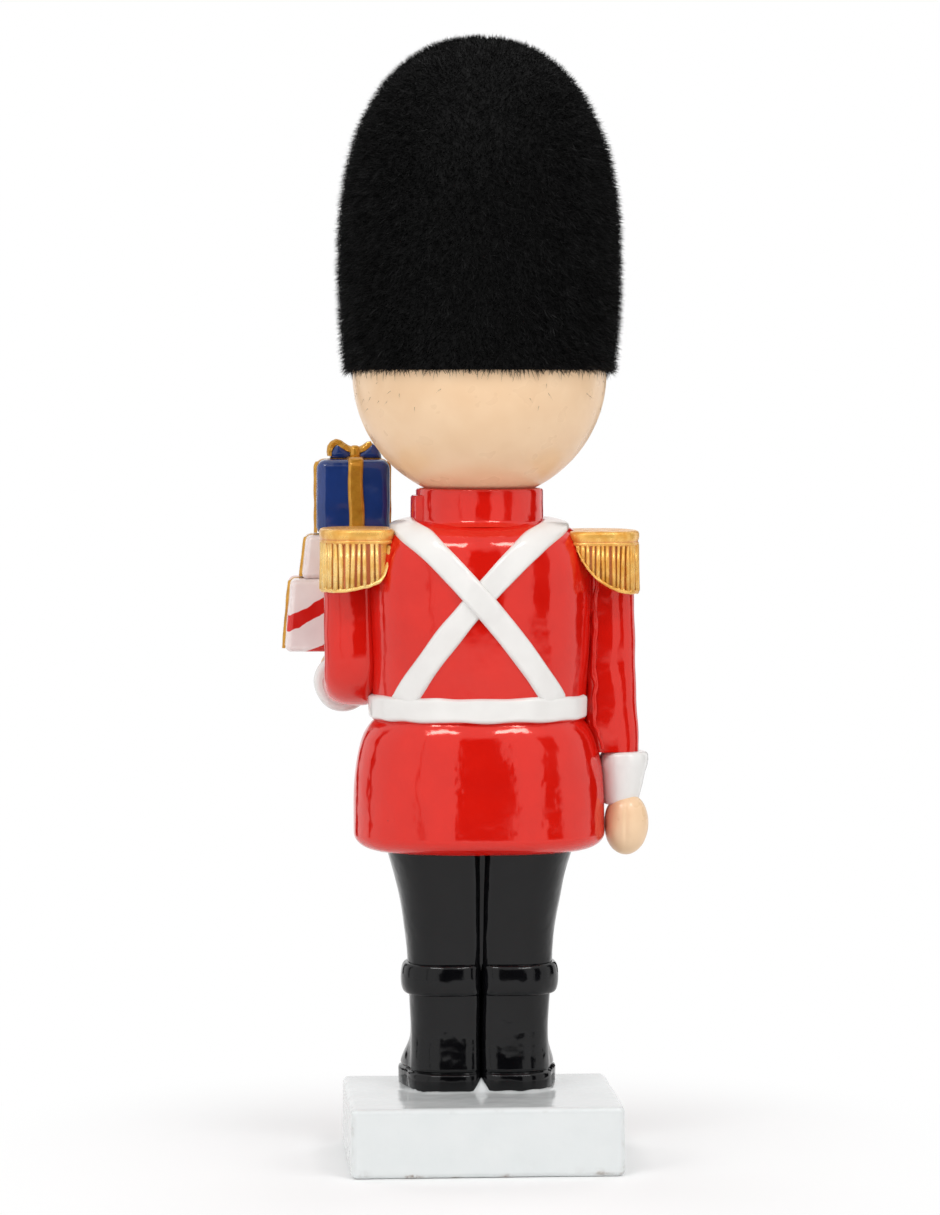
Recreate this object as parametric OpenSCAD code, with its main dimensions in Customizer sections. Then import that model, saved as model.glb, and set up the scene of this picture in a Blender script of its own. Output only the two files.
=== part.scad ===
// Toy guardsman figure on a plinth: painted cast pieces glued together on pegs,
// with a fur cover drawn over the former of the tall hat.
// Millimetres. The figure faces -Y, +Z is up, and the origin is the middle of the plinth's underside.

/* [Plinth] */
// Width of the plinth, side to side
plinth_w = 71.4; // [64:0.2:90]
// Depth of the plinth, front to back
plinth_d = 56; // [52:1:80]
// Height of the plinth
plinth_h = 18.3; // [14:0.1:30]
// Radius of the plinth's worn edges
plinth_edge = 1.6; // [0.6:0.1:3]
// How far in front of the plinth's middle the figure stands
stance_forward = 7; // [2:0.5:8]

/* [Boots and legs] */
// Width of one boot at the ankle
boot_w = 18.8; // [16:0.2:20]
// Depth of the boot's shaft, front to back
boot_d = 18.8; // [16:0.2:21]
// How far the toe reaches in front of the shaft
toe_reach = 7.5; // [3:0.5:9]
// Height of the boot from the plinth to its rolled top
boot_h = 25.7; // [22:0.1:34]
// Height of the sole's edge
sole_h = 5; // [3:0.1:6]
// Height over the sole at which the toe has run into the shaft
instep_h = 9.3; // [6:0.1:12]
// Angle that each toe turns out
toe_out = 14; // [0:1:20]
// Height of the boot's rolled top
roll_h = 8.3; // [6:0.1:10]
// How far the rolled top stands out from the leg
roll_out = 2.2; // [1.2:0.1:3]
// Length of trouser leg between the rolled top and the tunic's hem
thigh_h = 29.9; // [24:0.1:44]
// Width across both legs at the hem
hip_w = 49.6; // [44:0.2:52]
// Depth of the legs at the hem
hip_d = 31; // [26:0.5:34]

/* [Tunic] */
// Height of the tunic's skirt, from hem to waist
skirt_h = 35; // [28:0.1:42]
// Height of the skirt's straight wall above the hem
skirt_wall_h = 12; // [8:0.5:16]
// Width of the skirt at the hem
skirt_w = 66.8; // [64:0.2:70]
// Depth of the skirt at the hem
skirt_d = 48; // [45:0.5:54]
// Radius of the skirt's rolled hem
hem_r = 4; // [2:0.2:5]
// Width of the chest
chest_w = 60; // [58:0.2:64]
// Depth of the chest
chest_d = 47; // [43:0.5:52]
// How much narrower the waist is than the chest
waist_nip_w = 3; // [1:0.2:6]
// How much shallower the waist is than the chest
waist_nip_d = 5; // [2:0.2:8]
// Height of the chest's widest part above the waist
chest_rise = 29.5; // [24:0.5:33]
// Height from the waist to the collar's seat
torso_h = 53.7; // [48:0.1:60]
// Height of the waist belt
belt_h = 6.5; // [4:0.1:8]
// Thickness of the waist belt
belt_t = 0.9; // [0.5:0.1:1.6]
// Width of the crossed straps
strap_w = 6.6; // [5:0.1:8]
// Thickness of the crossed straps
strap_t = 0.9; // [0.5:0.1:1.4]
// Height of the straps' crossing below the collar's seat
strap_drop = 21.1; // [18:0.1:24]
// Distance of the straps' lower ends from the middle
strap_foot = 19.4; // [15:0.2:21]
// Angle that the straps' crossing at the back is turned to the figure's left
strap_turn = 4; // [0:1:6]
// Diameter of the tunic's front buttons
button_d = 3.6; // [2.6:0.1:4.4]
// Width of the belt's front buckle
buckle_w = 9; // [7:0.2:12]

/* [Collar and head] */
// Diameter of the collar's band
collar_d = 36; // [34:0.2:37]
// Height of the collar's band
collar_h = 5.9; // [4:0.1:9]
// Height of the collar's inner edge above the band
collar_lip = 1.6; // [1:0.1:3]
// Diameter of the head's ball
head_d = 67.4; // [64:0.2:69]
// How far the head's ball sinks below the collar's edge
chin_sink = 3.3; // [2.4:0.1:4]
// Diameter of the nose
nose_d = 5; // [3:0.2:7]

/* [Hat] */
// Height of the fur hat
hat_h = 90.5; // [70:0.5:110]
// Height of the hat's widest part above its lower edge
hat_belly_rise = 29.2; // [20:0.2:36]
// Largest diameter of the fur hat
hat_d = 77.4; // [77:0.2:84]
// Thickness of the fur cover, backing and pile
fur_t = 3.2; // [2:0.1:3.4]
// Height of the hat's lower edge above the middle of the head
brim_rise = 0.2; // [-2:0.2:6]

/* [Arms] */
// Width of a sleeve at the shoulder
sleeve_w = 11.1; // [10.5:0.1:13]
// Depth of a sleeve, front to back
sleeve_d = 13; // [11:0.2:15]
// Width of the hanging arm's cuff at its wide end
cuff_w = 12; // [11:0.2:13]
// Width of the bent arm's cuff at its wide end
bent_cuff_w = 15.6; // [13:0.2:17]
// Length of a cuff's straight band
cuff_band = 3.5; // [2:0.1:6]
// Width of a cuff at the wrist
wrist_w = 9; // [8:0.2:10]
// Length of a cuff
cuff_l = 14; // [11:0.2:18]
// Length of a hand
hand_l = 13.4; // [11:0.2:18]
// Width of a hand
hand_w = 11.4; // [9.5:0.2:13]
// Thickness of a thumb
thumb_d = 3.6; // [2.6:0.1:4.4]
// Height of the right cuff's upper edge above the hem
cuff_rise = 26; // [22:0.5:28]
// Height of the left elbow's axis above the waist
elbow_rise = 8.5; // [6.8:0.1:11]
// Height of the epaulettes, rim and fringe
epaulette_h = 16.6; // [15:0.2:20]
// Depth of the epaulettes, front to back
epaulette_d = 28; // [22:0.5:30]
// Height of the epaulette's rim
rim_h = 3.4; // [2:0.1:5]
// Number of cords round an epaulette's fringe
fringe_cords = 36; // [24:1:44]

/* [Gifts] */
// Width of the lowest gift
low_gift_w = 33.4; // [29:0.2:36]
// Depth of the lowest gift
low_gift_d = 24; // [22:0.2:28]
// Height of the lowest gift
low_gift_h = 19.6; // [14:0.2:24]
// Width of the middle gift
mid_gift_w = 24.4; // [23:0.2:27]
// Depth of the middle gift
mid_gift_d = 20; // [20:0.2:22]
// Height of the middle gift
mid_gift_h = 11.8; // [8:0.2:16]
// Width of the top gift
top_gift_w = 19.8; // [16:0.2:21]
// Depth of the top gift
top_gift_d = 18; // [14:0.2:18]
// Height of the top gift
top_gift_h = 20.4; // [14:0.2:22]
// Distance of the stack's middle from the figure's middle
stack_x = 33.6; // [33.6:0.2:38]
// Distance of the stack's back face in front of the figure's axis
stack_back = 20.6; // [20.4:0.2:23]
// Width of the ribbons
ribbon_w = 4.6; // [2.4:0.1:5]
// Thickness of the ribbons
ribbon_t = 0.7; // [0.4:0.1:1.2]
// Width of the bow
bow_w = 15; // [11:0.5:18]
// Height of the bow
bow_h = 5; // [4:0.2:8]

/* [Pegs] */
// Diameter of the pegs that join the castings
peg_d = 6; // [4:0.2:7]
// Length of the pegs
peg_l = 8; // [5:0.2:10]
// Depth of the shoulders' pegs below the collar's seat
arm_peg_drop = 12; // [9:0.2:16]
// Gap left for glue between two pieces
glue_gap = 0.15; // [0.1:0.01:0.25]

/* [Hidden] */
$fn = 72;

// Points round a lofted section
ring_n = 32;
// Squareness of the cut through the legs, the skirt and the body: 2 is an ellipse
leg_square = 2.3;
skirt_square = 2.15;
body_square = 2.1;
// Squareness of the shoulders' rounding
shoulder_square = 4.3;
// How fast the skirt draws in from its straight wall to the waist
skirt_draw = 2.2;
// Squareness of the hat's dome
dome_square = 2.3;
// A small overlap that keeps cutting tools clear of the faces they cut
over = 0.5;

// Heights of the figure's levels above the ground
boot_top = plinth_h + boot_h;
roll_top = boot_top + roll_h;
hem_z = roll_top + thigh_h;
waist_z = hem_z + skirt_h;
belt_top = waist_z + 0.2 + belt_h;
seat_z = waist_z + torso_h;
crown_z = seat_z + 2;
chest_z = waist_z + chest_rise;
collar_top = seat_z + collar_h + collar_lip;
waist_w = chest_w - waist_nip_w;
waist_d = chest_d - waist_nip_d;
head_r = head_d / 2;
head_z = collar_top - chin_sink + head_r;
brim_z = head_z + brim_rise;
crown_cut_z = brim_z + 6;
hat_top = brim_z + hat_h;

colour_red = [0.82, 0.09, 0.05];
colour_white = [0.95, 0.94, 0.92];
colour_black = [0.05, 0.05, 0.06];
colour_gold = [0.80, 0.58, 0.18];
colour_skin = [0.94, 0.80, 0.66];
colour_blue = [0.10, 0.18, 0.42];
colour_fur = [0.03, 0.03, 0.03];

// Sections and lofts

function signed_pow(v, e) = sign(v) * pow(abs(v), e);
function smooth(t) = let (c = min(1, max(0, t))) c * c * (3 - 2 * c);
function unit(v) = v / norm(v);
function mean(points) = [for (k = [0:2]) let (c = [for (p = points) p[k]]) (c * [for (v = c) 1]) / len(c)];

// One closed section: half widths a_out (+x) and a_in (-x), half depths b_back (+y) and b_front (-y)
function egg(a_out, a_in, b_back, b_front, square, n = ring_n) = [
    for (i = [0:n - 1])
        let (c = signed_pow(cos(360 * i / n), 2 / square), s = signed_pow(sin(360 * i / n), 2 / square))
            [(c > 0 ? a_out : a_in) * c, (s > 0 ? b_back : b_front) * s]
];
function oval(a, b, square) = egg(a, a, b, b, square);
function at(section, x, y, z) = [for (p = section) [p[0] + x, p[1] + y, z]];

// A rectangle with round corners
function round_rect(w, d, r, steps = 5) = [
    for (q = [0:3], k = [0:steps])
        let (t = 90 * (q + k / steps), sx = [1, -1, -1, 1][q], sy = [1, 1, -1, -1][q])
            [sx * (w / 2 - r) + r * cos(t), sy * (d / 2 - r) + r * sin(t)]
];

// Skin over a row of sections, each seen anticlockwise from the last one's end, with both ends closed
module loft(rings) {
    n = len(rings[0]);
    m = len(rings);
    polyhedron(
        points = [for (r = rings) each r, mean(rings[0]), mean(rings[m - 1])],
        faces = [
            for (k = [0:m - 2], i = [0:n - 1])
                let (j = (i + 1) % n, p = k * n, q = p + n)
                    each [[p + i, q + i, q + j], [p + i, q + j, p + j]],
            for (i = [0:n - 1])
                let (j = (i + 1) % n)
                    each [[m * n, i, j], [m * n + 1, (m - 1) * n + j, (m - 1) * n + i]]
        ]
    );
}

// Skin over a closed row of sections, such as a hoop
module hoop(rings) {
    n = len(rings[0]);
    m = len(rings);
    polyhedron(
        points = [for (r = rings) each r],
        faces = [
            for (k = [0:m - 1], i = [0:n - 1])
                let (j = (i + 1) % n, p = k * n, q = ((k + 1) % m) * n)
                    each [[p + i, q + i, q + j], [p + i, q + j, p + j]]
        ]
    );
}

// A box with soft edges, standing on z = 0
module soft_box(size, edge) {
    steps = 4;
    loft([
        for (k = [0:steps]) let (c = edge * (1 - sin(90 * k / steps)))
            at(round_rect(size[0] - 2 * c, size[1] - 2 * c, edge), 0, 0, edge * (1 - cos(90 * k / steps)) * 0.4),
        for (k = [0:steps]) let (c = edge * (1 - cos(90 * k / steps)))
            at(round_rect(size[0] - 2 * c, size[1] - 2 * c, edge), 0, 0, size[2] - edge * (1 - sin(90 * k / steps)))
    ]);
}

module at_figure() translate([0, -stance_forward, 0]) children();
module right_side() mirror([1, 0, 0]) children();

// Plinth

leg_x = (boot_w + glue_gap) / 2;

module leg_pegs(d, h) {
    for (side = [-1, 1]) translate([side * leg_x, -stance_forward, 0]) cylinder(d = d, h = h);
}

module plinth() color(colour_white) difference() {
    soft_box([plinth_w, plinth_d, plinth_h], plinth_edge);
    translate([0, 0, plinth_h - peg_l - glue_gap]) leg_pegs(peg_d + 2 * glue_gap, peg_l + plinth_h);
}

// Boots: a shaft that swells into a short round toe on a sole with a proud edge

sole_out = 0.5;
roll_seat = 1;

function toe_at(h) = boot_d / 2 + toe_reach * (h < sole_h ? 1 : 1 - smooth((h - sole_h) / instep_h));
// How far the section turns out for each millimetre in front of the shaft's middle
function splay(h) = tan(toe_out) * (toe_at(h) - boot_d / 2) / toe_reach;
function boot_section(h, out) = [
    for (p = egg(boot_w / 2 + out, boot_w / 2, boot_d / 2 + out, toe_at(h) + out, leg_square))
        [p[0] + splay(h) * max(0, -p[1]), p[1], plinth_h + h]
];

module boot() {
    shaft_h = boot_h + roll_h - roll_seat;
    color(colour_black) translate([leg_x, -stance_forward, 0]) union() {
        loft([
            boot_section(0, sole_out),
            boot_section(sole_h - 0.5, sole_out),
            boot_section(sole_h, 0),
            for (k = [1:5]) boot_section(sole_h + instep_h * k / 5, 0),
            boot_section(shaft_h, 0)
        ]);
        translate([0, 0, plinth_h - peg_l]) cylinder(d = peg_d, h = peg_l + over);
    }
}

// The boot's rolled top: a soft hoop round the shaft and the foot of the trouser leg
module boot_roll() {
    hole = glue_gap;
    steps = 8;
    color(colour_black) translate([leg_x, -stance_forward, boot_top]) difference() {
        loft([
            for (k = [0:steps])
                let (t = 180 * k / steps, out = 0.6 + (roll_out - 0.6) * pow(sin(t), 0.6))
                    at(egg(boot_w / 2 + out, boot_w / 2, boot_d / 2 + out, boot_d / 2 + out, leg_square),
                        0, 0, roll_h * (1 - cos(t)) / 2)
        ]);
        loft([
            for (h = [-over, roll_h + over])
                at(egg(boot_w / 2 + hole, boot_w / 2 + hole, boot_d / 2 + hole, boot_d / 2 + hole, leg_square),
                    0, 0, h)
        ]);
    }
}

module left_boot() boot();
module right_boot() right_side() boot();
module left_boot_roll() boot_roll();
module right_boot_roll() right_side() boot_roll();

// Trousers: both legs in one casting, creased down the middle, standing on the boots' shafts

hip_x = hip_w / 4;
crease = 0.3;

// One section through both legs: lobes round +-c that run together at x = 0
function twin(c, a_out, a_in, b) =
    let (
        half = ring_n / 2 + 1,
        turn = acos(-pow(c / a_in, leg_square / 2)),
        lobe = [
            for (i = [0:half - 1])
                let (t = -turn + 2 * turn * i / (half - 1), k = signed_pow(cos(t), 2 / leg_square))
                    [c + (k > 0 ? a_out : a_in) * k, b * signed_pow(sin(t), 2 / leg_square)]
        ]
    )
    [for (p = lobe) p, for (i = [half - 2:-1:1]) [-lobe[i][0], lobe[i][1]]];

function trouser_section(f) =
    let (c = leg_x + (hip_x - leg_x) * f, a = boot_w / 2 + 0.5 + (hip_x - boot_w / 2 - 0.5) * f)
        at(twin(c, a, c + crease, boot_d / 2 + 0.4 + (hip_d - boot_d - 0.8) / 2 * pow(f, 0.8)),
            0, -stance_forward, roll_top + 1 + (thigh_h - 1) * f);

module trousers() {
    foot = twin(leg_x, boot_w / 2 - 0.3, leg_x + crease, boot_d / 2 - 0.3);
    color(colour_black) union() {
        loft([
            at(foot, 0, -stance_forward, roll_top - roll_seat),
            at(foot, 0, -stance_forward, roll_top),
            for (k = [0:8]) trouser_section(k / 8)
        ]);
        translate([0, 0, hem_z - over]) leg_pegs(peg_d, peg_l + over);
    }
}

// Tunic skirt: a bell with a rolled hem, drawn in to the waist

skirt_top_out = 0.9;
skirt_knee_z = hem_z + skirt_wall_h;

function skirt_draw_at(z) = pow(max(0, (z - skirt_knee_z) / (waist_z - skirt_knee_z)), skirt_draw);
function hem_inset(z) =
    let (h = min(hem_r, z - hem_z)) hem_r - sqrt(hem_r * hem_r - (hem_r - h) * (hem_r - h));
function skirt_a(z) = (skirt_w - (skirt_w - waist_w - 2 * skirt_top_out) * skirt_draw_at(z)) / 2 - hem_inset(z);
function skirt_b(z) = (skirt_d - (skirt_d - waist_d - 2 * skirt_top_out) * skirt_draw_at(z)) / 2 - hem_inset(z);
function skirt_section(z) = at(oval(skirt_a(z), skirt_b(z), skirt_square), 0, -stance_forward, z);

module tunic_skirt() color(colour_red) difference() {
    loft([
        for (k = [0:5]) skirt_section(hem_z + hem_r * (1 - cos(90 * k / 5))),
        for (k = [0:9]) skirt_section(skirt_knee_z + (waist_z - skirt_knee_z) * k / 9)
    ]);
    translate([0, 0, hem_z - over]) leg_pegs(peg_d + 2 * glue_gap, peg_l + over + glue_gap);
}

// Tunic body: a barrel that rounds over at the shoulders, with the collar let into its top

function shoulder_u(z) = max(0, (z - chest_z) / (crown_z - chest_z));
function barrel(waist, chest, z) = (waist + (chest - waist) * smooth((z - waist_z) / (chest_z - waist_z))) / 2;
function shoulder_round(z) = pow(1 - pow(shoulder_u(z), shoulder_square), 1 / shoulder_square);
function body_a(z) = barrel(waist_w, chest_w, z) * shoulder_round(z);
function body_b(z) = barrel(waist_d, chest_d, z) * shoulder_round(z);

// Below 1 inside the body, 1 on its skin
function body_level(p) =
    let (
        across = pow(abs(p[0]) / barrel(waist_w, chest_w, p[2]), body_square),
        deep = pow(abs(p[1]) / barrel(waist_d, chest_d, p[2]), body_square)
    )
    pow(across + deep, shoulder_square / body_square) + pow(shoulder_u(p[2]), shoulder_square);
function body_normal(p) =
    unit([for (k = [[0.05, 0, 0], [0, 0.05, 0], [0, 0, 0.05]]) body_level(p + k) - body_level(p - k)]);

module body_skin(out, low_rings) {
    end_z = crown_z - 0.4;
    loft([
        for (k = [7 - low_rings:6]) let (z = waist_z + (chest_z - waist_z) * k / 7)
            at(oval(body_a(z) + out, body_b(z) + out, body_square), 0, 0, z),
        for (k = [0:9]) let (z = chest_z + (end_z - chest_z) * sin(9 * k + 9))
            at(oval(body_a(z) + out, body_b(z) + out, body_square), 0, 0, z + out)
    ]);
}

neck_d = collar_d - 4.4;
arm_peg_z = seat_z - arm_peg_drop;
arm_peg_l = peg_l - 2;

module tunic_body() color(colour_red) at_figure() difference() {
    body_skin(0, 7);
    translate([0, 0, seat_z]) cylinder(d = collar_d + 2 * glue_gap, h = crown_z);
    translate([0, 0, seat_z - peg_l - glue_gap]) cylinder(d = peg_d * 2 + 2 * glue_gap, h = crown_z);
    for (side = [0, 1]) mirror([side, 0, 0])
        translate([body_a(arm_peg_z) - arm_peg_l - glue_gap, 0, arm_peg_z])
            rotate([0, 90, 0]) cylinder(d = peg_d + 2 * glue_gap, h = chest_w);
}

// Waist belt with a buckle in front

belt_z = belt_top - belt_h;
function belt_section(z, out) = at(oval(body_a(z) + out, body_b(z) + out, body_square), 0, 0, z);

module waist_belt() {
    edge = belt_t * 0.4;
    outlines = [
        belt_section(belt_z, glue_gap),
        belt_section(belt_top, glue_gap),
        belt_section(belt_top, glue_gap + belt_t - edge),
        belt_section(belt_top - edge, glue_gap + belt_t),
        belt_section(belt_z + edge, glue_gap + belt_t),
        belt_section(belt_z, glue_gap + belt_t - edge)
    ];
    color(colour_white) at_figure() hoop([for (i = [0:ring_n - 1]) [for (o = outlines) o[i]]]);
}

module belt_buckle() {
    buckle_t = 1.2;
    frame_w = 1.5;
    front_y = body_b(belt_top) + belt_t + 2 * glue_gap;
    color(colour_gold) at_figure() translate([0, -front_y, (belt_z + belt_top) / 2]) rotate([90, 0, 0]) {
        linear_extrude(buckle_t) difference() {
            polygon(round_rect(buckle_w, belt_h + 1.2, 1.4));
            polygon(round_rect(buckle_w - 2 * frame_w, belt_h + 1.2 - 2 * frame_w, 0.6));
        }
        translate([0, 0, buckle_t / 2]) cube([buckle_w - frame_w, 1.1, buckle_t], center = true);
    }
}

// Crossed straps: each runs from the belt at the back over one shoulder to the belt in front

cross_z = seat_z - strap_drop;
strap_top_x = collar_d / 2 + strap_w / 2 + 0.5;
strap_up = crown_z - 1.4 - cross_z;
strap_down = cross_z - belt_top;
strap_bend = (strap_top_x / strap_up - strap_foot / strap_down) / (strap_up + strap_down);
strap_lean = strap_top_x / strap_up - strap_bend * strap_up;
strap_steps = 22;

function strap_x(z) = strap_lean * (z - cross_z) + strap_bend * (z - cross_z) * (z - cross_z);
// Height at which the strap's middle line meets the ridge of the shoulder
function ridge(lo, hi, k) =
    let (z = (lo + hi) / 2) k == 0 ? z : strap_x(z) < body_a(z) ? ridge(z, hi, k - 1) : ridge(lo, z, k - 1);
strap_ridge = ridge(cross_z, crown_z - 0.2, 24);

// Depth of the body's skin at x, z
function skin_y(x, z) =
    let (free = pow(shoulder_round(z), body_square) - pow(abs(x) / barrel(waist_w, chest_w, z), body_square))
        barrel(waist_d, chest_d, z) * pow(max(0, free), 1 / body_square);
// How far a strap is turned sideways for each millimetre behind the figure's axis
function strap_slew(t, rides) = t < 0 ? (rides ? 1 : -1) * tan(strap_turn) : 0;
// The middle line, from -1 at the belt behind through 0 on the shoulder to 1 at the belt in front
function strap_point(t, rides) =
    let (
        start = belt_top + glue_gap,
        z = start + (strap_ridge - start) * sin(90 * (1 - abs(t))),
        x = strap_x(z) + strap_slew(t, rides) * skin_y(strap_x(z), z)
    )
    [x, (t < 0 ? 1 : -1) * skin_y(x, z), z];
// Slides a point along a direction onto the body's skin
function settle(p, dir, lo, hi, k) =
    let (mid = (lo + hi) / 2)
        k == 0 ? p + dir * mid
        : body_level(p + dir * mid) < 1 ? settle(p, dir, mid, hi, k - 1) : settle(p, dir, lo, mid, k - 1);

// The upper strap climbs over the lower one where they cross
function strap_lift(p, t, rides) =
    let (cross_x = strap_slew(t, rides) * body_b(cross_z))
        rides ? (strap_t + glue_gap) * smooth(1.9 - norm([p[0] - cross_x, p[2] - cross_z]) / strap_w * 1.5) : 0;

function strap_section(t, rides) =
    let (
        p = strap_point(t, rides),
        n = body_normal(p),
        along = unit(strap_point(t + 0.01, rides) - strap_point(t - 0.01, rides)),
        side = unit(cross(n, along)),
        base = glue_gap + strap_lift(p, t, rides),
        left = settle(p - side * strap_w / 2, n, -4, 2, 18),
        right = settle(p + side * strap_w / 2, n, -4, 2, 18),
        middle = settle(p, n, -1, 1, 18)
    )
    [
        left + n * base, middle + n * base, right + n * base,
        right + n * (base + strap_t * 0.7), middle + n * (base + strap_t), left + n * (base + strap_t * 0.7)
    ];

module strap(rides) at_figure() difference() {
    loft([for (k = [-strap_steps:strap_steps]) strap_section(k / strap_steps * 1.12, rides)]);
    translate([0, 0, belt_top + glue_gap - chest_w])
        cube([2 * chest_w, 2 * chest_w, 2 * chest_w], center = true);
}

module under_strap() color(colour_white) right_side() strap(false);
module over_strap() color(colour_white) strap(true);

// Front buttons, between the belt, the straps' crossing and the collar

module front_buttons() {
    low = belt_top + button_d;
    gap_low = cross_z - strap_w - button_d / 2 - low;
    heights = [low, low + gap_low / 2, low + gap_low, cross_z + strap_w + button_d / 2];
    color(colour_gold) at_figure() for (z = heights)
        translate([0, -body_b(z) - glue_gap - 0.2, z]) rotate([90, 0, 0])
            rotate_extrude() polygon([[0, 0], [button_d / 2, 0], [button_d / 2, 0.5], [button_d / 4, 1.1], [0, 1.2]]);
}

// Collar: a stand-up band with a narrower inner edge above it

module collar() color(colour_red) at_figure() translate([0, 0, seat_z]) rotate_extrude() difference() {
    union() {
        square([collar_d / 2, collar_h]);
        square([collar_d / 2 - 1, collar_h + collar_lip]);
    }
    translate([0, -over]) square([neck_d / 2 + glue_gap, collar_h + collar_lip + 2 * over]);
}

// Head: a ball on a neck that pegs into the body, cut off flat under the hat

hat_peg_d = peg_d * 2;

module head() color(colour_skin) at_figure() difference() {
    union() {
        intersection() {
            translate([0, 0, head_z]) sphere(r = head_r);
            translate([0, 0, crown_cut_z - head_d]) cylinder(r = head_d, h = head_d);
        }
        translate([0, 0, seat_z]) cylinder(d = neck_d, h = head_z - head_r * 0.75 - seat_z);
        translate([0, 0, seat_z - peg_l]) cylinder(d = peg_d * 2, h = peg_l + over);
        translate([0, -head_r * cos(10), head_z - head_r * sin(10)]) sphere(d = nose_d);
    }
    translate([0, 0, crown_cut_z - peg_l - glue_gap]) cylinder(d = hat_peg_d + 2 * glue_gap, h = peg_l + 1);
}

// Hat: a turned former on the head, under a fur cover that comes down over the head

hat_belly_z = brim_z + hat_belly_rise;
brim_r = head_r + glue_gap + fur_t;
brim_edge = 1.2;
hat_steps = 18;

function hat_dome(f, out) = pow(1 - pow(f, dome_square), 1 / dome_square) * (hat_d / 2 - out);
function hat_barrel(z, out) =
    hat_d / 2 - out - (hat_d / 2 - brim_r) * pow((hat_belly_z - z) / (hat_belly_z - brim_z), 2);
// Outline from height z up to the top, set in by out
function hat_outline(z, out) = [
    for (k = [0:5]) let (h = z + (hat_belly_z - z) * k / 6) [hat_barrel(h, out), h],
    for (k = [0:hat_steps])
        let (f = sin(90 * k / hat_steps)) [hat_dome(f, out), hat_belly_z + (hat_top - out - hat_belly_z) * f]
];
function reversed(list) = [for (i = [len(list) - 1:-1:0]) list[i]];

module hat_former() color(colour_fur) at_figure() union() {
    rotate_extrude() polygon([[0, crown_cut_z], each hat_outline(crown_cut_z, fur_t + glue_gap)]);
    translate([0, 0, crown_cut_z - peg_l]) cylinder(d = hat_peg_d, h = peg_l + over);
}

module hat_fur() color(colour_fur) at_figure() rotate_extrude() polygon([
    [head_r + glue_gap, brim_z],
    [brim_r - brim_edge, brim_z],
    each hat_outline(brim_z + brim_edge, 0),
    each reversed(hat_outline(crown_cut_z, fur_t)),
    [head_r + glue_gap, crown_cut_z]
]);

// Sleeves: sections along an arm, widened on the inner side to lie against the body

rim_top = seat_z - 4;
arm_top = rim_top - rim_h;
shoulder_x = chest_w / 2 + glue_gap + sleeve_w / 2;
wrist_x = skirt_w / 2 + glue_gap + cuff_w / 2;
cuff_top = hem_z + cuff_rise;
elbow_z = waist_z + elbow_rise;
elbow_r = sleeve_d / 2 + 1.5;
cuff_y = elbow_r + 6;
stack_z = elbow_z + bent_cuff_w / 2 + glue_gap;

// Half width of the body and skirt beside an arm
function side_a(z) =
    z < waist_z ? max(skirt_a(z), waist_w / 2 + belt_t + glue_gap)
    : body_a(z) + (belt_t + glue_gap) * smooth((belt_top + 6 - z) / 4);

// A section at x, y, z whose arm runs at an angle forward from straight down
function sleeve_section(x, y, z, angle, a_out, b, out) = [
    for (p = egg(a_out + out, x - side_a(z) - glue_gap + out, b + out, b + out, 2.2))
        [x + p[0], y - p[1] * cos(angle), z + p[1] * sin(angle)]
];

module shoulder_peg() {
    translate([body_a(arm_peg_z) - arm_peg_l, 0, arm_peg_z]) rotate([0, 90, 0])
        cylinder(d = peg_d, h = shoulder_x - body_a(arm_peg_z) + arm_peg_l);
}

function hanging_sleeve(out) = [
    for (k = [0:14])
        let (f = k / 14, z = arm_top + (cuff_top - arm_top) * f, x = shoulder_x + (wrist_x - shoulder_x) * f * f)
            sleeve_section(x, 0, z + (k == 0 ? out : 0), 0,
                sleeve_w / 2 - (sleeve_w - wrist_w * 0.88) / 2 * f * f, sleeve_d / 2 - f * f, out)
];
function bent_sleeve(out) = [
    for (k = [0:7])
        let (z = arm_top + (elbow_z + elbow_r - arm_top) * k / 7)
            sleeve_section(shoulder_x, 0, z + (k == 0 ? out : 0), 0, sleeve_w / 2, sleeve_d / 2, out),
    for (k = [1:6])
        let (t = 15 * k)
            sleeve_section(shoulder_x, elbow_r * (cos(t) - 1), elbow_z + elbow_r * (1 - sin(t)), t,
                sleeve_w / 2, sleeve_d / 2 - 0.8 * k / 6, out),
    sleeve_section(shoulder_x, -cuff_y, elbow_z, 90, sleeve_w / 2, wrist_w / 2 + 0.6, out)
];

wrist_peg_d = 4;
wrist_peg_l = cuff_l + 5;

module left_sleeve() color(colour_red) at_figure() difference() {
    union() {
        loft(bent_sleeve(0));
        shoulder_peg();
    }
    translate([shoulder_x, -cuff_y, elbow_z]) rotate([-90, 0, 0]) wrist_bore();
}
module right_sleeve() color(colour_red) at_figure() right_side() difference() {
    union() {
        loft(hanging_sleeve(0));
        shoulder_peg();
    }
    translate([wrist_x, 0, cuff_top]) wrist_bore();
}
module wrist_bore() {
    translate([0, 0, -over]) cylinder(d = wrist_peg_d + 2 * glue_gap, h = wrist_peg_l - cuff_l + over + glue_gap);
}

// Cuffs: turned-back bands, wide towards the elbow, with the wrist's peg through them

module cuff(wide) {
    lip = 1;
    rotate_extrude() polygon([
        [wrist_peg_d / 2 + glue_gap, 0],
        [wide / 2 - lip, 0],
        [wide / 2, -lip],
        [wide / 2, -cuff_band],
        [wrist_w / 2, -cuff_l],
        [wrist_peg_d / 2 + glue_gap, -cuff_l]
    ]);
}
module left_wrist() at_figure() translate([shoulder_x, -cuff_y, elbow_z]) rotate([-90, 0, 0]) children();
module right_wrist() at_figure() right_side() translate([wrist_x, 0, cuff_top]) children();
module left_cuff() color(colour_white) left_wrist() cuff(bent_cuff_w);
module right_cuff() color(colour_white) right_wrist() cuff(cuff_w);

// Hands: closed mitts with a peg up through the cuff

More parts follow.
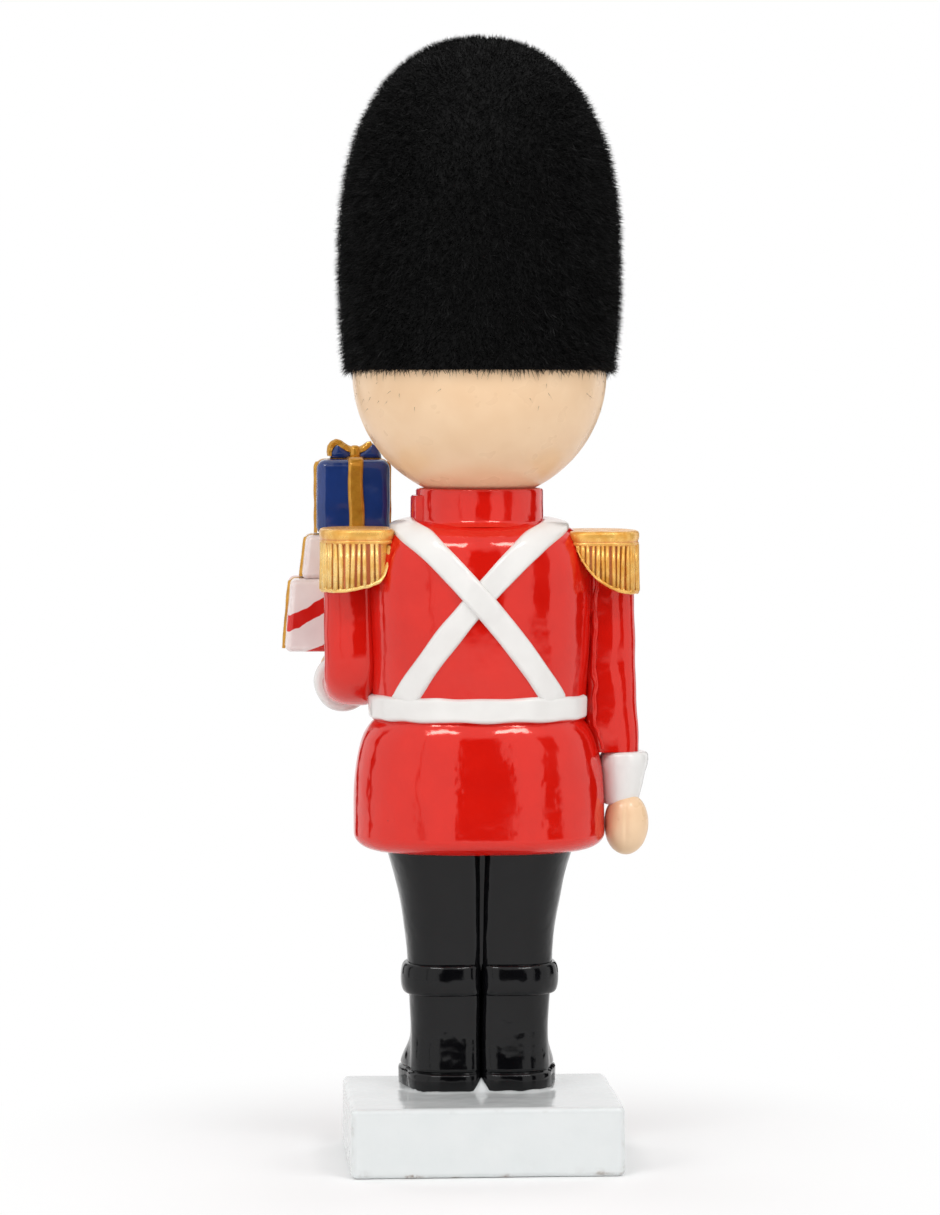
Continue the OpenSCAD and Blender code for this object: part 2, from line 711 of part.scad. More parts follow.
function mitt_swell(f) =
    f < 0.5 ? wrist_w / 2 - 0.4 + (hand_w - wrist_w + 0.8) / 2 * sin(180 * f) : hand_w / 2 * sqrt(1 - pow(2 * f - 1, 2));

module mitt(thumb_turn, lift) {
    color(colour_skin) union() {
        loft([
            for (f = [0.985, 0.93, 0.86, 0.76, 0.65, 0.5, 0.36, 0.22, 0.1, 0])
                at(oval(mitt_swell(f), mitt_swell(f), 2.2), 0, -lift * sin(min(90, 180 * f)), -cuff_l - hand_l * f)
        ]);
        rotate(thumb_turn) translate([hand_w / 2 - thumb_d / 3, 0, -cuff_l - thumb_d]) hull() {
            sphere(d = thumb_d, $fn = 16);
            translate([thumb_d / 6, 0, -thumb_d * 1.3]) sphere(d = thumb_d * 0.9, $fn = 16);
        }
        translate([0, 0, -cuff_l - over]) cylinder(d = wrist_peg_d, h = wrist_peg_l + over);
    }
}
// The bent arm's palm rises to meet the gifts
module left_hand() left_wrist() mitt(0, (bent_cuff_w - hand_w) / 2);
module right_hand() right_wrist() mitt(-90, 0);

// Epaulettes: a rim over a fringe of cords, round at the arm's end and square on the shoulder

epaulette_out = shoulder_x + sleeve_w / 2 + 1;
epaulette_a = 8.8;
epaulette_reach = 10.4;
epaulette_x = epaulette_out - epaulette_a;
cord_points = 4;
cord_depth = 0.6;

function epaulette_point(t, out) =
    let (square = abs(t - 180) < 90 ? 5 : 2.3, half = abs(t - 180) < 90 ? epaulette_reach : epaulette_a)
        [(half + out) * signed_pow(cos(t), 2 / square), (epaulette_d / 2 + out) * signed_pow(sin(t), 2 / square)];
function fringe_outline() = [
    for (i = [0:fringe_cords * cord_points - 1])
        let (t = 360 * i / (fringe_cords * cord_points))
            epaulette_point(t, cord_depth * (abs(sin(fringe_cords * t / 2)) - 1))
];

// The lower edge is an arc under the arm's end, drawn out sideways by stretch
module epaulette(arm, stretch) color(colour_gold) difference() {
    intersection() {
        translate([epaulette_x, 0, 0]) union() {
            translate([0, 0, rim_top - epaulette_h]) linear_extrude(epaulette_h - rim_h / 2) polygon(fringe_outline());
            translate([0, 0, rim_top - rim_h]) linear_extrude(rim_h)
                polygon([for (i = [0:ring_n - 1]) epaulette_point(360 * i / ring_n, 0.2)]);
        }
        translate([epaulette_out - 1.3, 0, rim_top]) scale([stretch, 1, 1]) rotate([90, 0, 0])
            cylinder(r = epaulette_h, h = 2 * epaulette_d, center = true);
    }
    body_skin(glue_gap, 1);
    loft([for (k = [0:5]) arm[k]]);
}
module left_epaulette() at_figure() epaulette(bent_sleeve(glue_gap), 1.6);
module right_epaulette() at_figure() right_side() epaulette(hanging_sleeve(glue_gap), 1);

// Gifts: three boxes stacked on the left forearm, each tied with a ribbon, a bow on the top one

gift_low = [low_gift_w, low_gift_d, low_gift_h];
gift_mid = [mid_gift_w, mid_gift_d, mid_gift_h];
gift_top = [top_gift_w, top_gift_d, top_gift_h];
gift_edge = 1.3;
gift_y = -stack_back - gift_low[1] / 2;
mid_z = stack_z + gift_low[2];
top_z = mid_z + gift_mid[2];

module at_gift(z) at_figure() translate([stack_x, gift_y, z]) children();

// One band over a face w wide and h high: up one side, across the top and down the other
module ribbon_band(w, h) {
    rotate([90, 0, 0]) linear_extrude(ribbon_w, center = true) difference() {
        polygon(round_rect(w + 2 * (glue_gap + ribbon_t), 2 * (h + glue_gap + ribbon_t), gift_edge + ribbon_t));
        polygon(round_rect(w + 2 * glue_gap, 2 * (h + glue_gap), gift_edge));
        translate([-w, -2 * h]) square([2 * w, 2 * h + 0.3]);
    }
}
module ribbon(size) {
    ribbon_band(size[0], size[2]);
    rotate(90) ribbon_band(size[1], size[2]);
}
// The room that the gift above takes on a ribbon
module gift_room(size) {
    translate([-size[0] / 2 - glue_gap, -size[1] / 2 - glue_gap, 0])
        cube([size[0] + 2 * glue_gap, size[1] + 2 * glue_gap, size[2]]);
}
module seated_ribbon(size, above) difference() {
    ribbon(size);
    translate([0, 0, size[2]]) gift_room(above + 2 * [ribbon_t + glue_gap, ribbon_t + glue_gap, 0]);
}

module low_gift() color(colour_white) at_gift(stack_z) soft_box(gift_low, gift_edge);
module middle_gift() color(colour_white) at_gift(mid_z) soft_box(gift_mid, gift_edge);
module top_gift() color(colour_blue) at_gift(top_z) soft_box(gift_top, gift_edge);
module low_gift_ribbon() color(colour_gold) at_gift(stack_z) seated_ribbon(gift_low, gift_mid);
module middle_gift_ribbon() color(colour_gold) at_gift(mid_z) seated_ribbon(gift_mid, gift_top);
module top_gift_ribbon() color(colour_gold) at_gift(top_z) ribbon(gift_top);

module gift_bow() {
    rx = bow_w / 4;
    rz = bow_h / 2;
    thick = 1;
    color(colour_gold) at_gift(top_z + gift_top[2] + ribbon_t + 2 * glue_gap) rotate([90, 0, 0]) union() {
        linear_extrude(ribbon_w, center = true) for (side = [-1, 1]) rotate(side * 8) translate([side * rx, rz])
            difference() {
                polygon(oval(rx + 0.2, rz, 2));
                polygon(oval(rx + 0.2 - thick, rz - thick, 2));
            }
        linear_extrude(ribbon_w + 0.8, center = true) translate([0, rz * 0.75]) polygon(round_rect(3.2, rz * 1.5, 1));
    }
}

plinth();
left_boot();
right_boot();
left_boot_roll();
right_boot_roll();
trousers();
tunic_skirt();
tunic_body();
waist_belt();
belt_buckle();
under_strap();
over_strap();
front_buttons();
collar();
head();
hat_former();
hat_fur();
left_epaulette();
right_epaulette();
left_sleeve();
right_sleeve();
left_cuff();
right_cuff();
left_hand();
right_hand();
low_gift();
low_gift_ribbon();
middle_gift();
middle_gift_ribbon();
top_gift();
top_gift_ribbon();
gift_bow();
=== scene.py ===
import math

import bmesh
import bpy
import numpy as np
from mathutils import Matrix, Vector


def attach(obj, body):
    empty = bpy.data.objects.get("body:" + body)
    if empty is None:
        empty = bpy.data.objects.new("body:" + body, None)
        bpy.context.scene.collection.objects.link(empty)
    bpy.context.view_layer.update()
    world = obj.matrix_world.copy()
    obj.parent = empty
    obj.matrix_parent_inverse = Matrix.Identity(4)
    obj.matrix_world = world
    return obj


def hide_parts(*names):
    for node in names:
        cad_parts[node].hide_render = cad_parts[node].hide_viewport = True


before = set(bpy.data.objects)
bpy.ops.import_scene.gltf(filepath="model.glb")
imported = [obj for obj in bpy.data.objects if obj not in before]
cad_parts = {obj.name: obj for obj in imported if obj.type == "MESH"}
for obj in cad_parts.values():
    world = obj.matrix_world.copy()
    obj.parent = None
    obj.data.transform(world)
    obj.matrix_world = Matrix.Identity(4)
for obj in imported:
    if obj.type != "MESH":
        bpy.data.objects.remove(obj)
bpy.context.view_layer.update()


# Studio
# The camera stands behind the figure, level with its head and a little to its left. A white tent
# lights it softly, and the dark gaps between the tent's panels are what the glossy paint shows as
# bands. Two lamps overhead give the short highlights.

axis_y = -7.0     # the figure's axis, in millimetres; it stands in front of the plinth's middle
camera_turn, camera_away, camera_z = math.radians(4.0), 1.146, 0.2083
aim_shift, aim_z = 0.0025, 0.1466


def linear(code):
    """An sRGB hex colour as the linear values that a shader takes."""
    parts = [int(code[i:i + 2], 16) / 255 for i in (1, 3, 5)]
    return tuple(c / 12.92 if c <= 0.04045 else ((c + 0.055) / 1.055) ** 2.4 for c in parts) + (1.0,)


def feed(node, inputs):
    """Sets a node's inputs, each to a value, to a socket, or to another node's first working output."""
    for key, value in inputs.items():
        if isinstance(value, bpy.types.Node):
            value = next(socket for socket in value.outputs if socket.enabled)
        if isinstance(value, bpy.types.NodeSocket):
            node.id_data.links.new(value, node.inputs[key])
        else:
            node.inputs[key].default_value = value


def add(tree, kind, inputs=None, **settings):
    """Adds a node with its settings and its inputs."""
    node = tree.nodes.new(kind)
    for key, value in settings.items():
        setattr(node, key, value)
    feed(node, inputs or {})
    return node


def new_material(name):
    """A material and its node tree."""
    material = bpy.data.materials.new(name)
    material.use_nodes = True
    return material, material.node_tree


scene = bpy.context.scene
scene.view_settings.view_transform = "Standard"

camera = bpy.data.objects.new("photo_camera", bpy.data.cameras.new("photo_camera"))
scene.collection.objects.link(camera)
scene.camera = camera
camera.data.lens = 127.9
camera.data.clip_start = 0.05
ahead, aside = math.cos(camera_turn), math.sin(camera_turn)
camera.location = (camera_away * aside, axis_y / 1000 + camera_away * ahead, camera_z)
aim = Vector((aim_shift * ahead, axis_y / 1000 - aim_shift * aside, aim_z))
camera.rotation_euler = (aim - camera.location).to_track_quat("-Z", "Y").to_euler()

tent = bpy.data.worlds.new("white_tent")
scene.world = tent
tent.use_nodes = True
tree = tent.node_tree
tree.nodes.clear()
ray = add(tree, "ShaderNodeLightPath")
look = add(tree, "ShaderNodeSeparateXYZ", {0: add(tree, "ShaderNodeTexCoord").outputs["Generated"]})
bearing = add(tree, "ShaderNodeMath", {0: look.outputs["X"], 1: look.outputs["Y"]}, operation="ARCTAN2")
gap = None
# Middle and half width of each gap, in degrees round the tent from straight behind the figure
for middle, half in ((-3.5, 14), (-50, 8), (40, 0.8), (108, 3), (-112, 10), (150, 6), (-158, 7)):
    off = add(tree, "ShaderNodeMath", {0: bearing, 1: math.radians(middle)}, operation="SUBTRACT")
    off = add(tree, "ShaderNodeMath", {0: off}, operation="ABSOLUTE")
    one = add(tree, "ShaderNodeMapRange", {
        "Value": off, "From Min": math.radians(half - 0.6), "From Max": math.radians(half + 0.6),
        "To Min": 1.0, "To Max": 0.0})
    gap = one if gap is None else add(tree, "ShaderNodeMath", {0: gap, 1: one}, operation="MAXIMUM")
# the tent closes over the gaps about 35 degrees up, and they fade out towards the floor
for start, end, first, last in ((0.50, 0.62, 1.0, 0.0), (-0.27, -0.13, 0.0, 1.0)):
    fade = add(tree, "ShaderNodeMapRange", {
        "Value": look.outputs["Z"], "From Min": start, "From Max": end, "To Min": first, "To Max": last})
    gap = add(tree, "ShaderNodeMath", {0: gap, 1: fade}, operation="MULTIPLY")
panel = add(tree, "ShaderNodeMath", {0: 1.0, 1: gap}, operation="SUBTRACT")
# the camera sees plain white, reflections see the panels, and the rest is lit by a dimmer, even tent
seen = add(tree, "ShaderNodeMath", {0: ray.outputs["Is Camera Ray"], 1: panel}, operation="MAXIMUM")
mirrored = add(tree, "ShaderNodeMath", {
    0: ray.outputs["Is Glossy Ray"], 1: ray.outputs["Is Transmission Ray"]}, operation="MAXIMUM")
mirrored = add(tree, "ShaderNodeMath", {0: ray.outputs["Is Camera Ray"], 1: mirrored}, operation="MAXIMUM")
level = add(tree, "ShaderNodeMix", {"Factor": mirrored, "A": 0.52, "B": seen}, data_type="FLOAT")
sky = add(tree, "ShaderNodeBackground", {"Color": (1, 1, 1, 1), "Strength": level})
add(tree, "ShaderNodeOutputWorld", {"Surface": sky})

# Name, place, width, height and watts of each lamp; only the overhead pair shows in the gloss
lamp_aim = Vector((0, axis_y / 1000, 0.16))
for name, place, width, height, watts in (
    ("left_panel", (0.95, 0.75, 0.55), 0.7, 1.0, 4.8),
    ("right_panel", (-0.95, 0.75, 0.55), 0.7, 1.0, 4.2),
    ("front_left_panel", (0.7, -0.95, 0.55), 0.7, 1.0, 3.6),
    ("front_right_panel", (-0.7, -0.95, 0.55), 0.7, 1.0, 3.6),
    ("overhead_left", (0.36, 0.66, 0.96), 0.36, 0.16, 2.35),
    ("overhead_right", (-0.36, 0.66, 0.96), 0.36, 0.16, 2.35),
):
    lamp = bpy.data.objects.new(name, bpy.data.lights.new(name, "AREA"))
    scene.collection.objects.link(lamp)
    lamp.data.shape = "RECTANGLE"
    lamp.data.size, lamp.data.size_y, lamp.data.energy = width, height, watts
    lamp.location = place
    lamp.rotation_euler = (lamp_aim - lamp.location).to_track_quat("-Z", "Y").to_euler()
    lamp.visible_camera = False
    lamp.visible_glossy = name.startswith("overhead")

# The floor is matt white card near the figure, where it takes the shadow, and runs into the white
# behind it further out.
floor_r, floor_sides = 0.45, 120
floor_mesh = bpy.data.meshes.new("floor")
steps = [math.radians(360 / floor_sides * k) for k in range(floor_sides)]
rim = [(floor_r * math.cos(t), floor_r * math.sin(t), 0) for t in steps]
floor_mesh.from_pydata(rim, [], [tuple(range(floor_sides))])
floor = bpy.data.objects.new("floor", floor_mesh)
scene.collection.objects.link(floor)
white_card, tree = new_material("white_card")
tree.nodes.clear()
away = add(tree, "ShaderNodeVectorMath", {
    0: add(tree, "ShaderNodeTexCoord").outputs["Object"]}, operation="LENGTH")
far = add(tree, "ShaderNodeMapRange", {
    "Value": away, "From Min": 0.04, "From Max": 0.16}, interpolation_type="SMOOTHSTEP")
ray = add(tree, "ShaderNodeLightPath")
plain = add(tree, "ShaderNodeMath", {0: ray.outputs["Is Camera Ray"], 1: far}, operation="MULTIPLY")
card = add(tree, "ShaderNodeMixShader", {
    0: plain,
    1: add(tree, "ShaderNodeBsdfDiffuse", {"Color": (0.9, 0.9, 0.9, 1)}),
    2: add(tree, "ShaderNodeEmission", {"Color": (1, 1, 1, 1), "Strength": 1.0})})
add(tree, "ShaderNodeOutputMaterial", {"Surface": card})
floor_mesh.materials.append(white_card)


# Plinth
# A cast block, brushed with white gloss enamel after the boots were glued on, so the paint has
# crept up round the soles and stands in a small peak between the heels. Its edges are worn soft
# and pitted, with grime in the pits, most of all along the bottom.

def wobble(points, size, seed):
    """A smooth uneven field, about -1 to 1, with waves of the given size in millimetres."""
    rng = np.random.default_rng(seed)
    total = np.zeros(points.shape[:-1])
    for _ in range(7):
        way = rng.normal(size=3)
        way *= 2 * np.pi / (np.linalg.norm(way) * size * rng.uniform(0.7, 1.5))
        total += np.sin(points @ way + rng.uniform(0, 6.28))
    return total / 4


def smooth(t):
    """An eased step from 0 to 1."""
    t = np.clip(t, 0, 1)
    return t * t * (3 - 2 * t)


def unit(vectors):
    """Vectors along the last axis, brought to a length of 1."""
    return vectors / np.linalg.norm(vectors, axis=-1, keepdims=True)


def plain_mesh(name, form, place, side, marks):
    """A mesh from points in millimetres and faces, moved to its place and mirrored for the figure's
    right (side -1), with its marks as attributes of the points."""
    points, faces = form
    mesh = bpy.data.meshes.new(name)
    mesh.from_pydata(((points + place) * [side, 1, 1] / 1000).tolist(), [], faces)
    for mark, values in (marks or {}).items():
        mesh.attributes.new(mark, "FLOAT", "POINT").data.foreach_set("value", np.asarray(values, np.float32))
    return mesh


def fixed(made, stands_for):
    """Fixes a piece to the figure and hides the CAD node that it stands for, if any."""
    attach(made, "root")
    if stands_for:
        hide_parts(stands_for)


def piece(name, form, finish, stands_for=None, place=(0, axis_y, 0), side=1, marks=None, sharp=50):
    """A closed piece of the figure, finished and fixed."""
    mesh = plain_mesh(name, form, place, side, marks)
    whole = bmesh.new()
    whole.from_mesh(mesh)
    bmesh.ops.remove_doubles(whole, verts=whole.verts, dist=1e-6)
    bmesh.ops.recalc_face_normals(whole, faces=whole.faces)
    whole.to_mesh(mesh)
    whole.free()
    mesh.shade_smooth()
    mesh.set_sharp_from_angle(angle=math.radians(sharp))
    mesh.materials.append(finish)
    made = bpy.data.objects.new(name, mesh)
    scene.collection.objects.link(made)
    fixed(made, stands_for)


def enamel(name, colour, deep, gloss, coat, relief=1.0, dirt="#3b2f2a", specks=0.0, ior=1.5, sheen="#ffffff"):
    """Brushed gloss enamel over cast resin: a hard wet-looking skin with slow waves from the
    casting and faint brush marks, a little deeper in tone where it has pooled."""
    paint, tree = new_material(name)
    place = add(tree, "ShaderNodeTexCoord").outputs["Object"]
    # pooling over about 9 mm
    pool = add(tree, "ShaderNodeTexNoise", {
        "Vector": place, "Scale": 1 / 0.009, "Detail": 3.0, "Roughness": 0.5})
    pool = add(tree, "ShaderNodeMapRange", {"Value": pool, "From Min": 0.35, "From Max": 0.75})
    tone = add(tree, "ShaderNodeMix", {
        "Factor": pool, "A": linear(colour), "B": linear(deep)}, data_type="RGBA")
    # grime that has settled in the corners, from the piece's own marks
    mark = add(tree, "ShaderNodeAttribute", attribute_name="grime")
    fleck = add(tree, "ShaderNodeTexNoise", {"Vector": place, "Scale": 1 / 0.0011, "Detail": 2.0})
    fleck = add(tree, "ShaderNodeMapRange", {"Value": fleck, "From Min": 0.3, "From Max": 0.6})
    settled = add(tree, "ShaderNodeMath", {0: mark.outputs["Fac"], 1: fleck}, operation="MULTIPLY")
    # pin holes and dust under the paint, a few to the square centimetre
    cell = add(tree, "ShaderNodeTexVoronoi", {"Vector": place, "Scale": 1 / 0.0042, "Randomness": 1.0})
    size = add(tree, "ShaderNodeSeparateColor", {0: cell.outputs["Color"]})
    size = add(tree, "ShaderNodeMapRange", {
        "Value": size, "From Min": 1 - specks, "From Max": 1.0001, "To Min": -0.02, "To Max": 0.075})
    dot = add(tree, "ShaderNodeMath", {0: cell.outputs["Distance"], 1: size}, operation="LESS_THAN")
    for soiled in (settled, dot):
        tone = add(tree, "ShaderNodeMix", {
            "Factor": soiled, "A": tone, "B": linear(dirt)}, data_type="RGBA")
    # casting waves over 7 mm, and brush marks about 1 mm apart that run up the piece
    wave = add(tree, "ShaderNodeTexNoise", {"Vector": place, "Scale": 1 / 0.007, "Detail": 2.0})
    along = add(tree, "ShaderNodeMapping", {"Vector": place, "Scale": (1, 1, 0.16)})
    brush = add(tree, "ShaderNodeTexNoise", {
        "Vector": along, "Scale": 1 / 0.0011, "Detail": 2.0, "Roughness": 0.6})
    wavy = add(tree, "ShaderNodeBump", {"Height": wave, "Strength": 0.35 * relief, "Distance": 0.0005})
    brushed = add(tree, "ShaderNodeBump", {
        "Height": brush, "Strength": 0.16 * relief, "Distance": 0.00005, "Normal": wavy})
    worn = add(tree, "ShaderNodeMapRange", {
        "Value": wave, "From Min": 0.3, "From Max": 0.7, "To Min": gloss * 0.8, "To Max": gloss * 1.35})
    feed(tree.nodes["Principled BSDF"], {
        "Base Color": tone, "Roughness": worn, "Normal": brushed, "IOR": ior, "Specular Tint": linear(sheen),
        "Coat Weight": coat, "Coat Roughness": 0.05})
    return paint


def soft_block(size, edge, step):
    """Points, faces and edge marks of a block with soft edges that stands on z = 0."""
    half = np.array(size) / 2
    rounding = edge * np.array([0, 0.3, 0.6, 0.85])
    lines = []
    for h in half:
        flat = np.linspace(-(h - edge), h - edge, max(2, int(2 * (h - edge) / step) + 1))
        lines.append(np.concatenate([-h + rounding, flat, h - rounding[::-1]]))
    points, faces, known = [], [], {}
    for axis in range(3):
        u, v = lines[(axis + 1) % 3], lines[(axis + 2) % 3]
        for side in (-1, 1):
            spots = np.empty((len(u), len(v)), int)
            for i, a in enumerate(u):
                for j, b in enumerate(v):
                    spot = [0, 0, 0]
                    spot[axis], spot[(axis + 1) % 3], spot[(axis + 2) % 3] = side * half[axis], a, b
                    key = tuple(round(c, 5) for c in spot)
                    spots[i, j] = known.setdefault(key, len(known))
                    if known[key] == len(points):
                        points.append(spot)
            for i in range(len(u) - 1):
                for j in range(len(v) - 1):
                    faces.append((spots[i, j], spots[i + 1, j], spots[i + 1, j + 1], spots[i, j + 1]))
    points = np.array(points, float)
    core = np.clip(points, -(half - edge), half - edge)
    lean = points - core
    marks = np.sort(np.abs(lean), axis=1)[:, 1] / edge
    points = core + lean * (edge / np.linalg.norm(lean, axis=1))[:, None]
    points[:, 2] += half[2]
    return points, [tuple(int(i) for i in f) for f in faces], marks


def squared(t, square, flat=None):
    """Cosine and sine of t for a section squared off by an exponent, or by its own, flatter one
    where the cosine is negative."""
    power = 2 / np.where(np.cos(t) < 0, flat or square, square)
    return [np.sign(w) * np.abs(w) ** power for w in (np.cos(t), np.sin(t))]


def egg(out, inward, back, front, square, flat=None, n=96):
    """One closed section round the axis: half widths to +x and -x, half depths to +y and -y."""
    c, s = squared(np.arange(n) * 2 * np.pi / n, square, flat)
    return np.column_stack([np.where(c > 0, out, inward) * c, np.where(s > 0, back, front) * s])


plinth_w, plinth_d, plinth_top, worn_edge = 71.4, 56, 18.3, 1.6
boot_half, toe_reach, leg_x, leg_round = 9.4, 7.5, 9.475, 2.3
sole_out, sole_turn, heel_peak, heel_y = 0.5, 0.25, 3.6, 7.8
worn_white = enamel("worn_white_enamel", "#dadddd", "#d6dada", 0.16, 0.25, dirt="#7d6350", specks=0.12)
points, faces, edge_marks = soft_block((plinth_w, plinth_d, plinth_top), worn_edge, 1.1)
shake = 0.16 * wobble(points, 17, 3) + 0.06 * wobble(points, 5, 4)
points += shake[:, None] * unit(points - [0, 0, 9])
points[:, 2] = np.maximum(points[:, 2], 0.0)
sole_half = boot_half + sole_out
sole = egg(sole_half, boot_half, sole_half, sole_half + toe_reach, leg_round)
sole[:, 0] += sole_turn * np.maximum(0, -sole[:, 1])
soles = np.concatenate([sole * [k, 1] + [k * leg_x, axis_y] for k in (1, -1)])
top = points[:, 2] > plinth_top - 0.5
near = np.min(np.linalg.norm(points[top, None, :2] - soles[None], axis=2), axis=1)
crept = (0.55 + 0.45 * wobble(points[top], 6, 5)) * 0.9 * np.exp(-near ** 2)
peak = np.linalg.norm((points[top, :2] - [0, axis_y + heel_y]) / [1.5, 2.2], axis=1)
points[top, 2] += np.maximum(crept, heel_peak * np.exp(-peak ** 2))
low = np.exp(-points[:, 2] / 0.9)
pits = np.maximum(0, wobble(points, 4, 6)) ** 2
piece("plinth", (points, faces), worn_white, "plinth", place=(0, 0, 0),
      marks={"grime": np.clip(1.6 * pits * low + 0.5 * edge_marks * pits, 0, 1)})


# Boots
# Two short round-toed boots, each cast with a proud sole edge and a rolled top, brushed with
# gloss black. They are pegged to the plinth, and the trouser legs stand on their shafts.

def skin(rows, loop=False):
    """Points and faces of a skin over rows of closed rings, with the ends closed or joined."""
    rows = np.asarray(rows, float)
    m, n = rows.shape[:2]
    points = rows.reshape(-1, 3)
    faces = []
    for k in range(m if loop else m - 1):
        p, q = k * n, (k + 1) % m * n
        faces += [(p + i, p + (i + 1) % n, q + (i + 1) % n, q + i) for i in range(n)]
    if not loop:
        points = np.concatenate([points, rows[:1].mean(axis=1), rows[-1:].mean(axis=1)])
        last = (m - 1) * n
        faces += [(m * n, (i + 1) % n, i) for i in range(n)]
        faces += [(m * n + 1, last + i, last + (i + 1) % n) for i in range(n)]
    return points, faces


def level_ring(section, z):
    """A section laid at a height."""
    return np.column_stack([section, np.full(len(section), z)])


def shaken(rows, amount, size, seed):
    """Rings moved in and out a little, as a hand-finished casting is."""
    rows = np.asarray(rows, float)
    out = rows - rows.mean(axis=1, keepdims=True)
    out[..., 2] = 0
    out /= np.maximum(np.linalg.norm(out, axis=2, keepdims=True), 1e-6)
    return rows + out * (amount * wobble(rows, size, seed))[..., None]


leg_flat = 4.5     # the exponent of a leg's section where the legs meet


def leg_ring(out, back, front):
    """A section through one leg: round outside, nearly flat where the legs meet."""
    return egg(boot_half + out, boot_half + 0.25, back, front, leg_round, leg_flat, 128)


boot_h, sole_h, welt_h, instep_h, toe_turn, shaft_in = 25.7, 5.0, 5.6, 14.4, 0.31, 0.6
roll_h, roll_out, roll_steps = 8.3, 1.95, 24
black_enamel = enamel("black_gloss_enamel", "#09090b", "#060607", 0.12, 0.0, relief=2.4, dirt="#2a2926",
                      ior=1.37)
# Height above the plinth and reach beyond the shaft, for the sole and then the plain shaft
boot_profile = [(0.0, 0.2), (0.35, 0.5), (4.1, 0.55), (4.5, 0.4), (4.75, -0.1), (5.0, -0.32), (5.3, -0.2),
                (welt_h, 0.0)]
boot_profile += [(welt_h + 0.55 * k, 0.0) for k in range(1, 17)] + [(16 + 1.2 * k, 0.0) for k in range(15)]
boot_rows, roll_rows = [], []
for h, out in boot_profile:
    ahead = 1 - smooth((h - sole_h) / instep_h)
    out -= shaft_in * math.sin(math.pi * max(0, h - welt_h) / (boot_h - welt_h)) if h < boot_h else 0
    section = leg_ring(out, boot_half + out, boot_half + toe_reach * ahead + out)
    section[:, 0] += toe_turn * ahead * np.maximum(0, -section[:, 1])
    boot_rows.append(level_ring(section, plinth_top + h))
for t in np.linspace(0, math.pi, roll_steps + 1):
    out = 0.25 + roll_out * abs(math.sin(t)) ** 0.55
    section = leg_ring(out, boot_half + out, boot_half + out)
    roll_rows.append(level_ring(section, plinth_top + boot_h + roll_h * (1 - math.cos(t)) / 2))
for side, k in (("left", 1), ("right", -1)):
    for part, rows in (("boot", boot_rows), ("boot_roll", roll_rows)):
        piece(f"{side}_{part}", skin(shaken(rows, 0.12, 13, 11 + k)), black_enamel,
              f"{side}_{part}", (leg_x, axis_y, 0), k)


# Trousers
# Both legs are one casting with a crease down the middle and a narrow web in the crease,
# brushed with the same gloss black. They taper down to the boots' rolled tops.

roll_top, hem_z, leg_h, leg_foot = 52.3, 82.2, 30.8, 0.6
ankle_w, ankle_d, hip_x, hip_d, overlap = 9.9, 9.8, 12.4, 15.5, 0.3


def twin(c, out, inward, deep, web):
    """A section through both legs: lobes round +-c that meet in a web at x = 0."""
    turn = math.acos(-((c - web) / inward) ** (leg_flat / 2))
    k, s = squared(np.linspace(-turn, turn, 65), leg_round, leg_flat)
    lobe = np.column_stack([c + np.where(k > 0, out, inward) * k, deep * s])
    return np.concatenate([lobe, (lobe * [-1, 1])[::-1]])


# the legs reach down inside the boots' rolled tops
leg_rows = [level_ring(twin(leg_x, 9.0, leg_x + overlap, 9.0, 0.45), roll_top - 2)]
for f in np.linspace(0, 1, 44):
    c, wide = (start + (hip_x - start) * f ** 1.8 for start in (leg_x, ankle_w))
    deep = ankle_d + (hip_d - ankle_d) * f ** 1.3
    web = 0.55 + 0.25 * wobble(np.array([[0, 0, leg_h * f]]), 9, 23)[0]
    leg_rows.append(level_ring(twin(c, wide, c + overlap, deep, web), roll_top - leg_foot + leg_h * f))
piece("trousers", skin(shaken(leg_rows, 0.14, 16, 21)), black_enamel, "trousers")


# Tunic skirt and body
# The coat's skirt is a bell with a rolled hem. The body over it is a barrel that rounds in at the
# shoulders. Both are cast, glued at the waist and brushed with gloss red.

waist_z, chest_z, crown_z, seat_z, flare_z = 117.2, 146.7, 170.5, 168.6, 94.2
hem_w, hem_d, skirt_top_w, skirt_top_d, skirt_square = 66.8, 48, 58.8, 43.8, 2.15
waist_w, waist_d, chest_w, chest_d, coat_square, shoulder_square = 57, 42, 60, 47, 2.1, 4.3
hem_roll_in, hem_roll_h, waist_roll_in, waist_roll_h = 7.0, 4.6, 1.5, 6
red_enamel = enamel("red_gloss_enamel", "#d3170c", "#cb130a", 0.10, 0.08, relief=1.7, dirt="#4a0d0a",
                    specks=0.03, ior=2.1, sheen="#ff9c92")


def skirt_half(z, hem, top):
    """Half width or depth of the skirt at a height, from its full sizes at the hem and the top."""
    drawn = np.maximum(0, (z - flare_z) / (waist_z - flare_z)) ** 2.2
    rolled_in = waist_roll_in * np.clip((z - waist_z + waist_roll_h) / waist_roll_h, 0, 1) ** 2.2
    h = np.clip((z - hem_z) / hem_roll_h, 0, 1)
    return hem / 2 - (hem - top) / 2 * drawn - rolled_in - hem_roll_in * (1 - np.sqrt(1 - (1 - h) ** 2))


def coat_w(z):
    """Half width of the coat's body, before its shoulders round in."""
    return (waist_w + (chest_w - waist_w) * smooth((z - waist_z) / (chest_z - waist_z))) / 2


def coat_d(z):
    """Half depth of the coat's body, before its shoulders round in."""
    return (waist_d + (chest_d - waist_d) * smooth((z - waist_z) / (chest_z - waist_z))) / 2


def shoulder(z):
    """What is left of the coat's width and depth at a height, as the shoulders round in."""
    u = np.clip((z - chest_z) / (crown_z - chest_z), 0, 1)
    return (1 - u ** shoulder_square) ** (1 / shoulder_square)


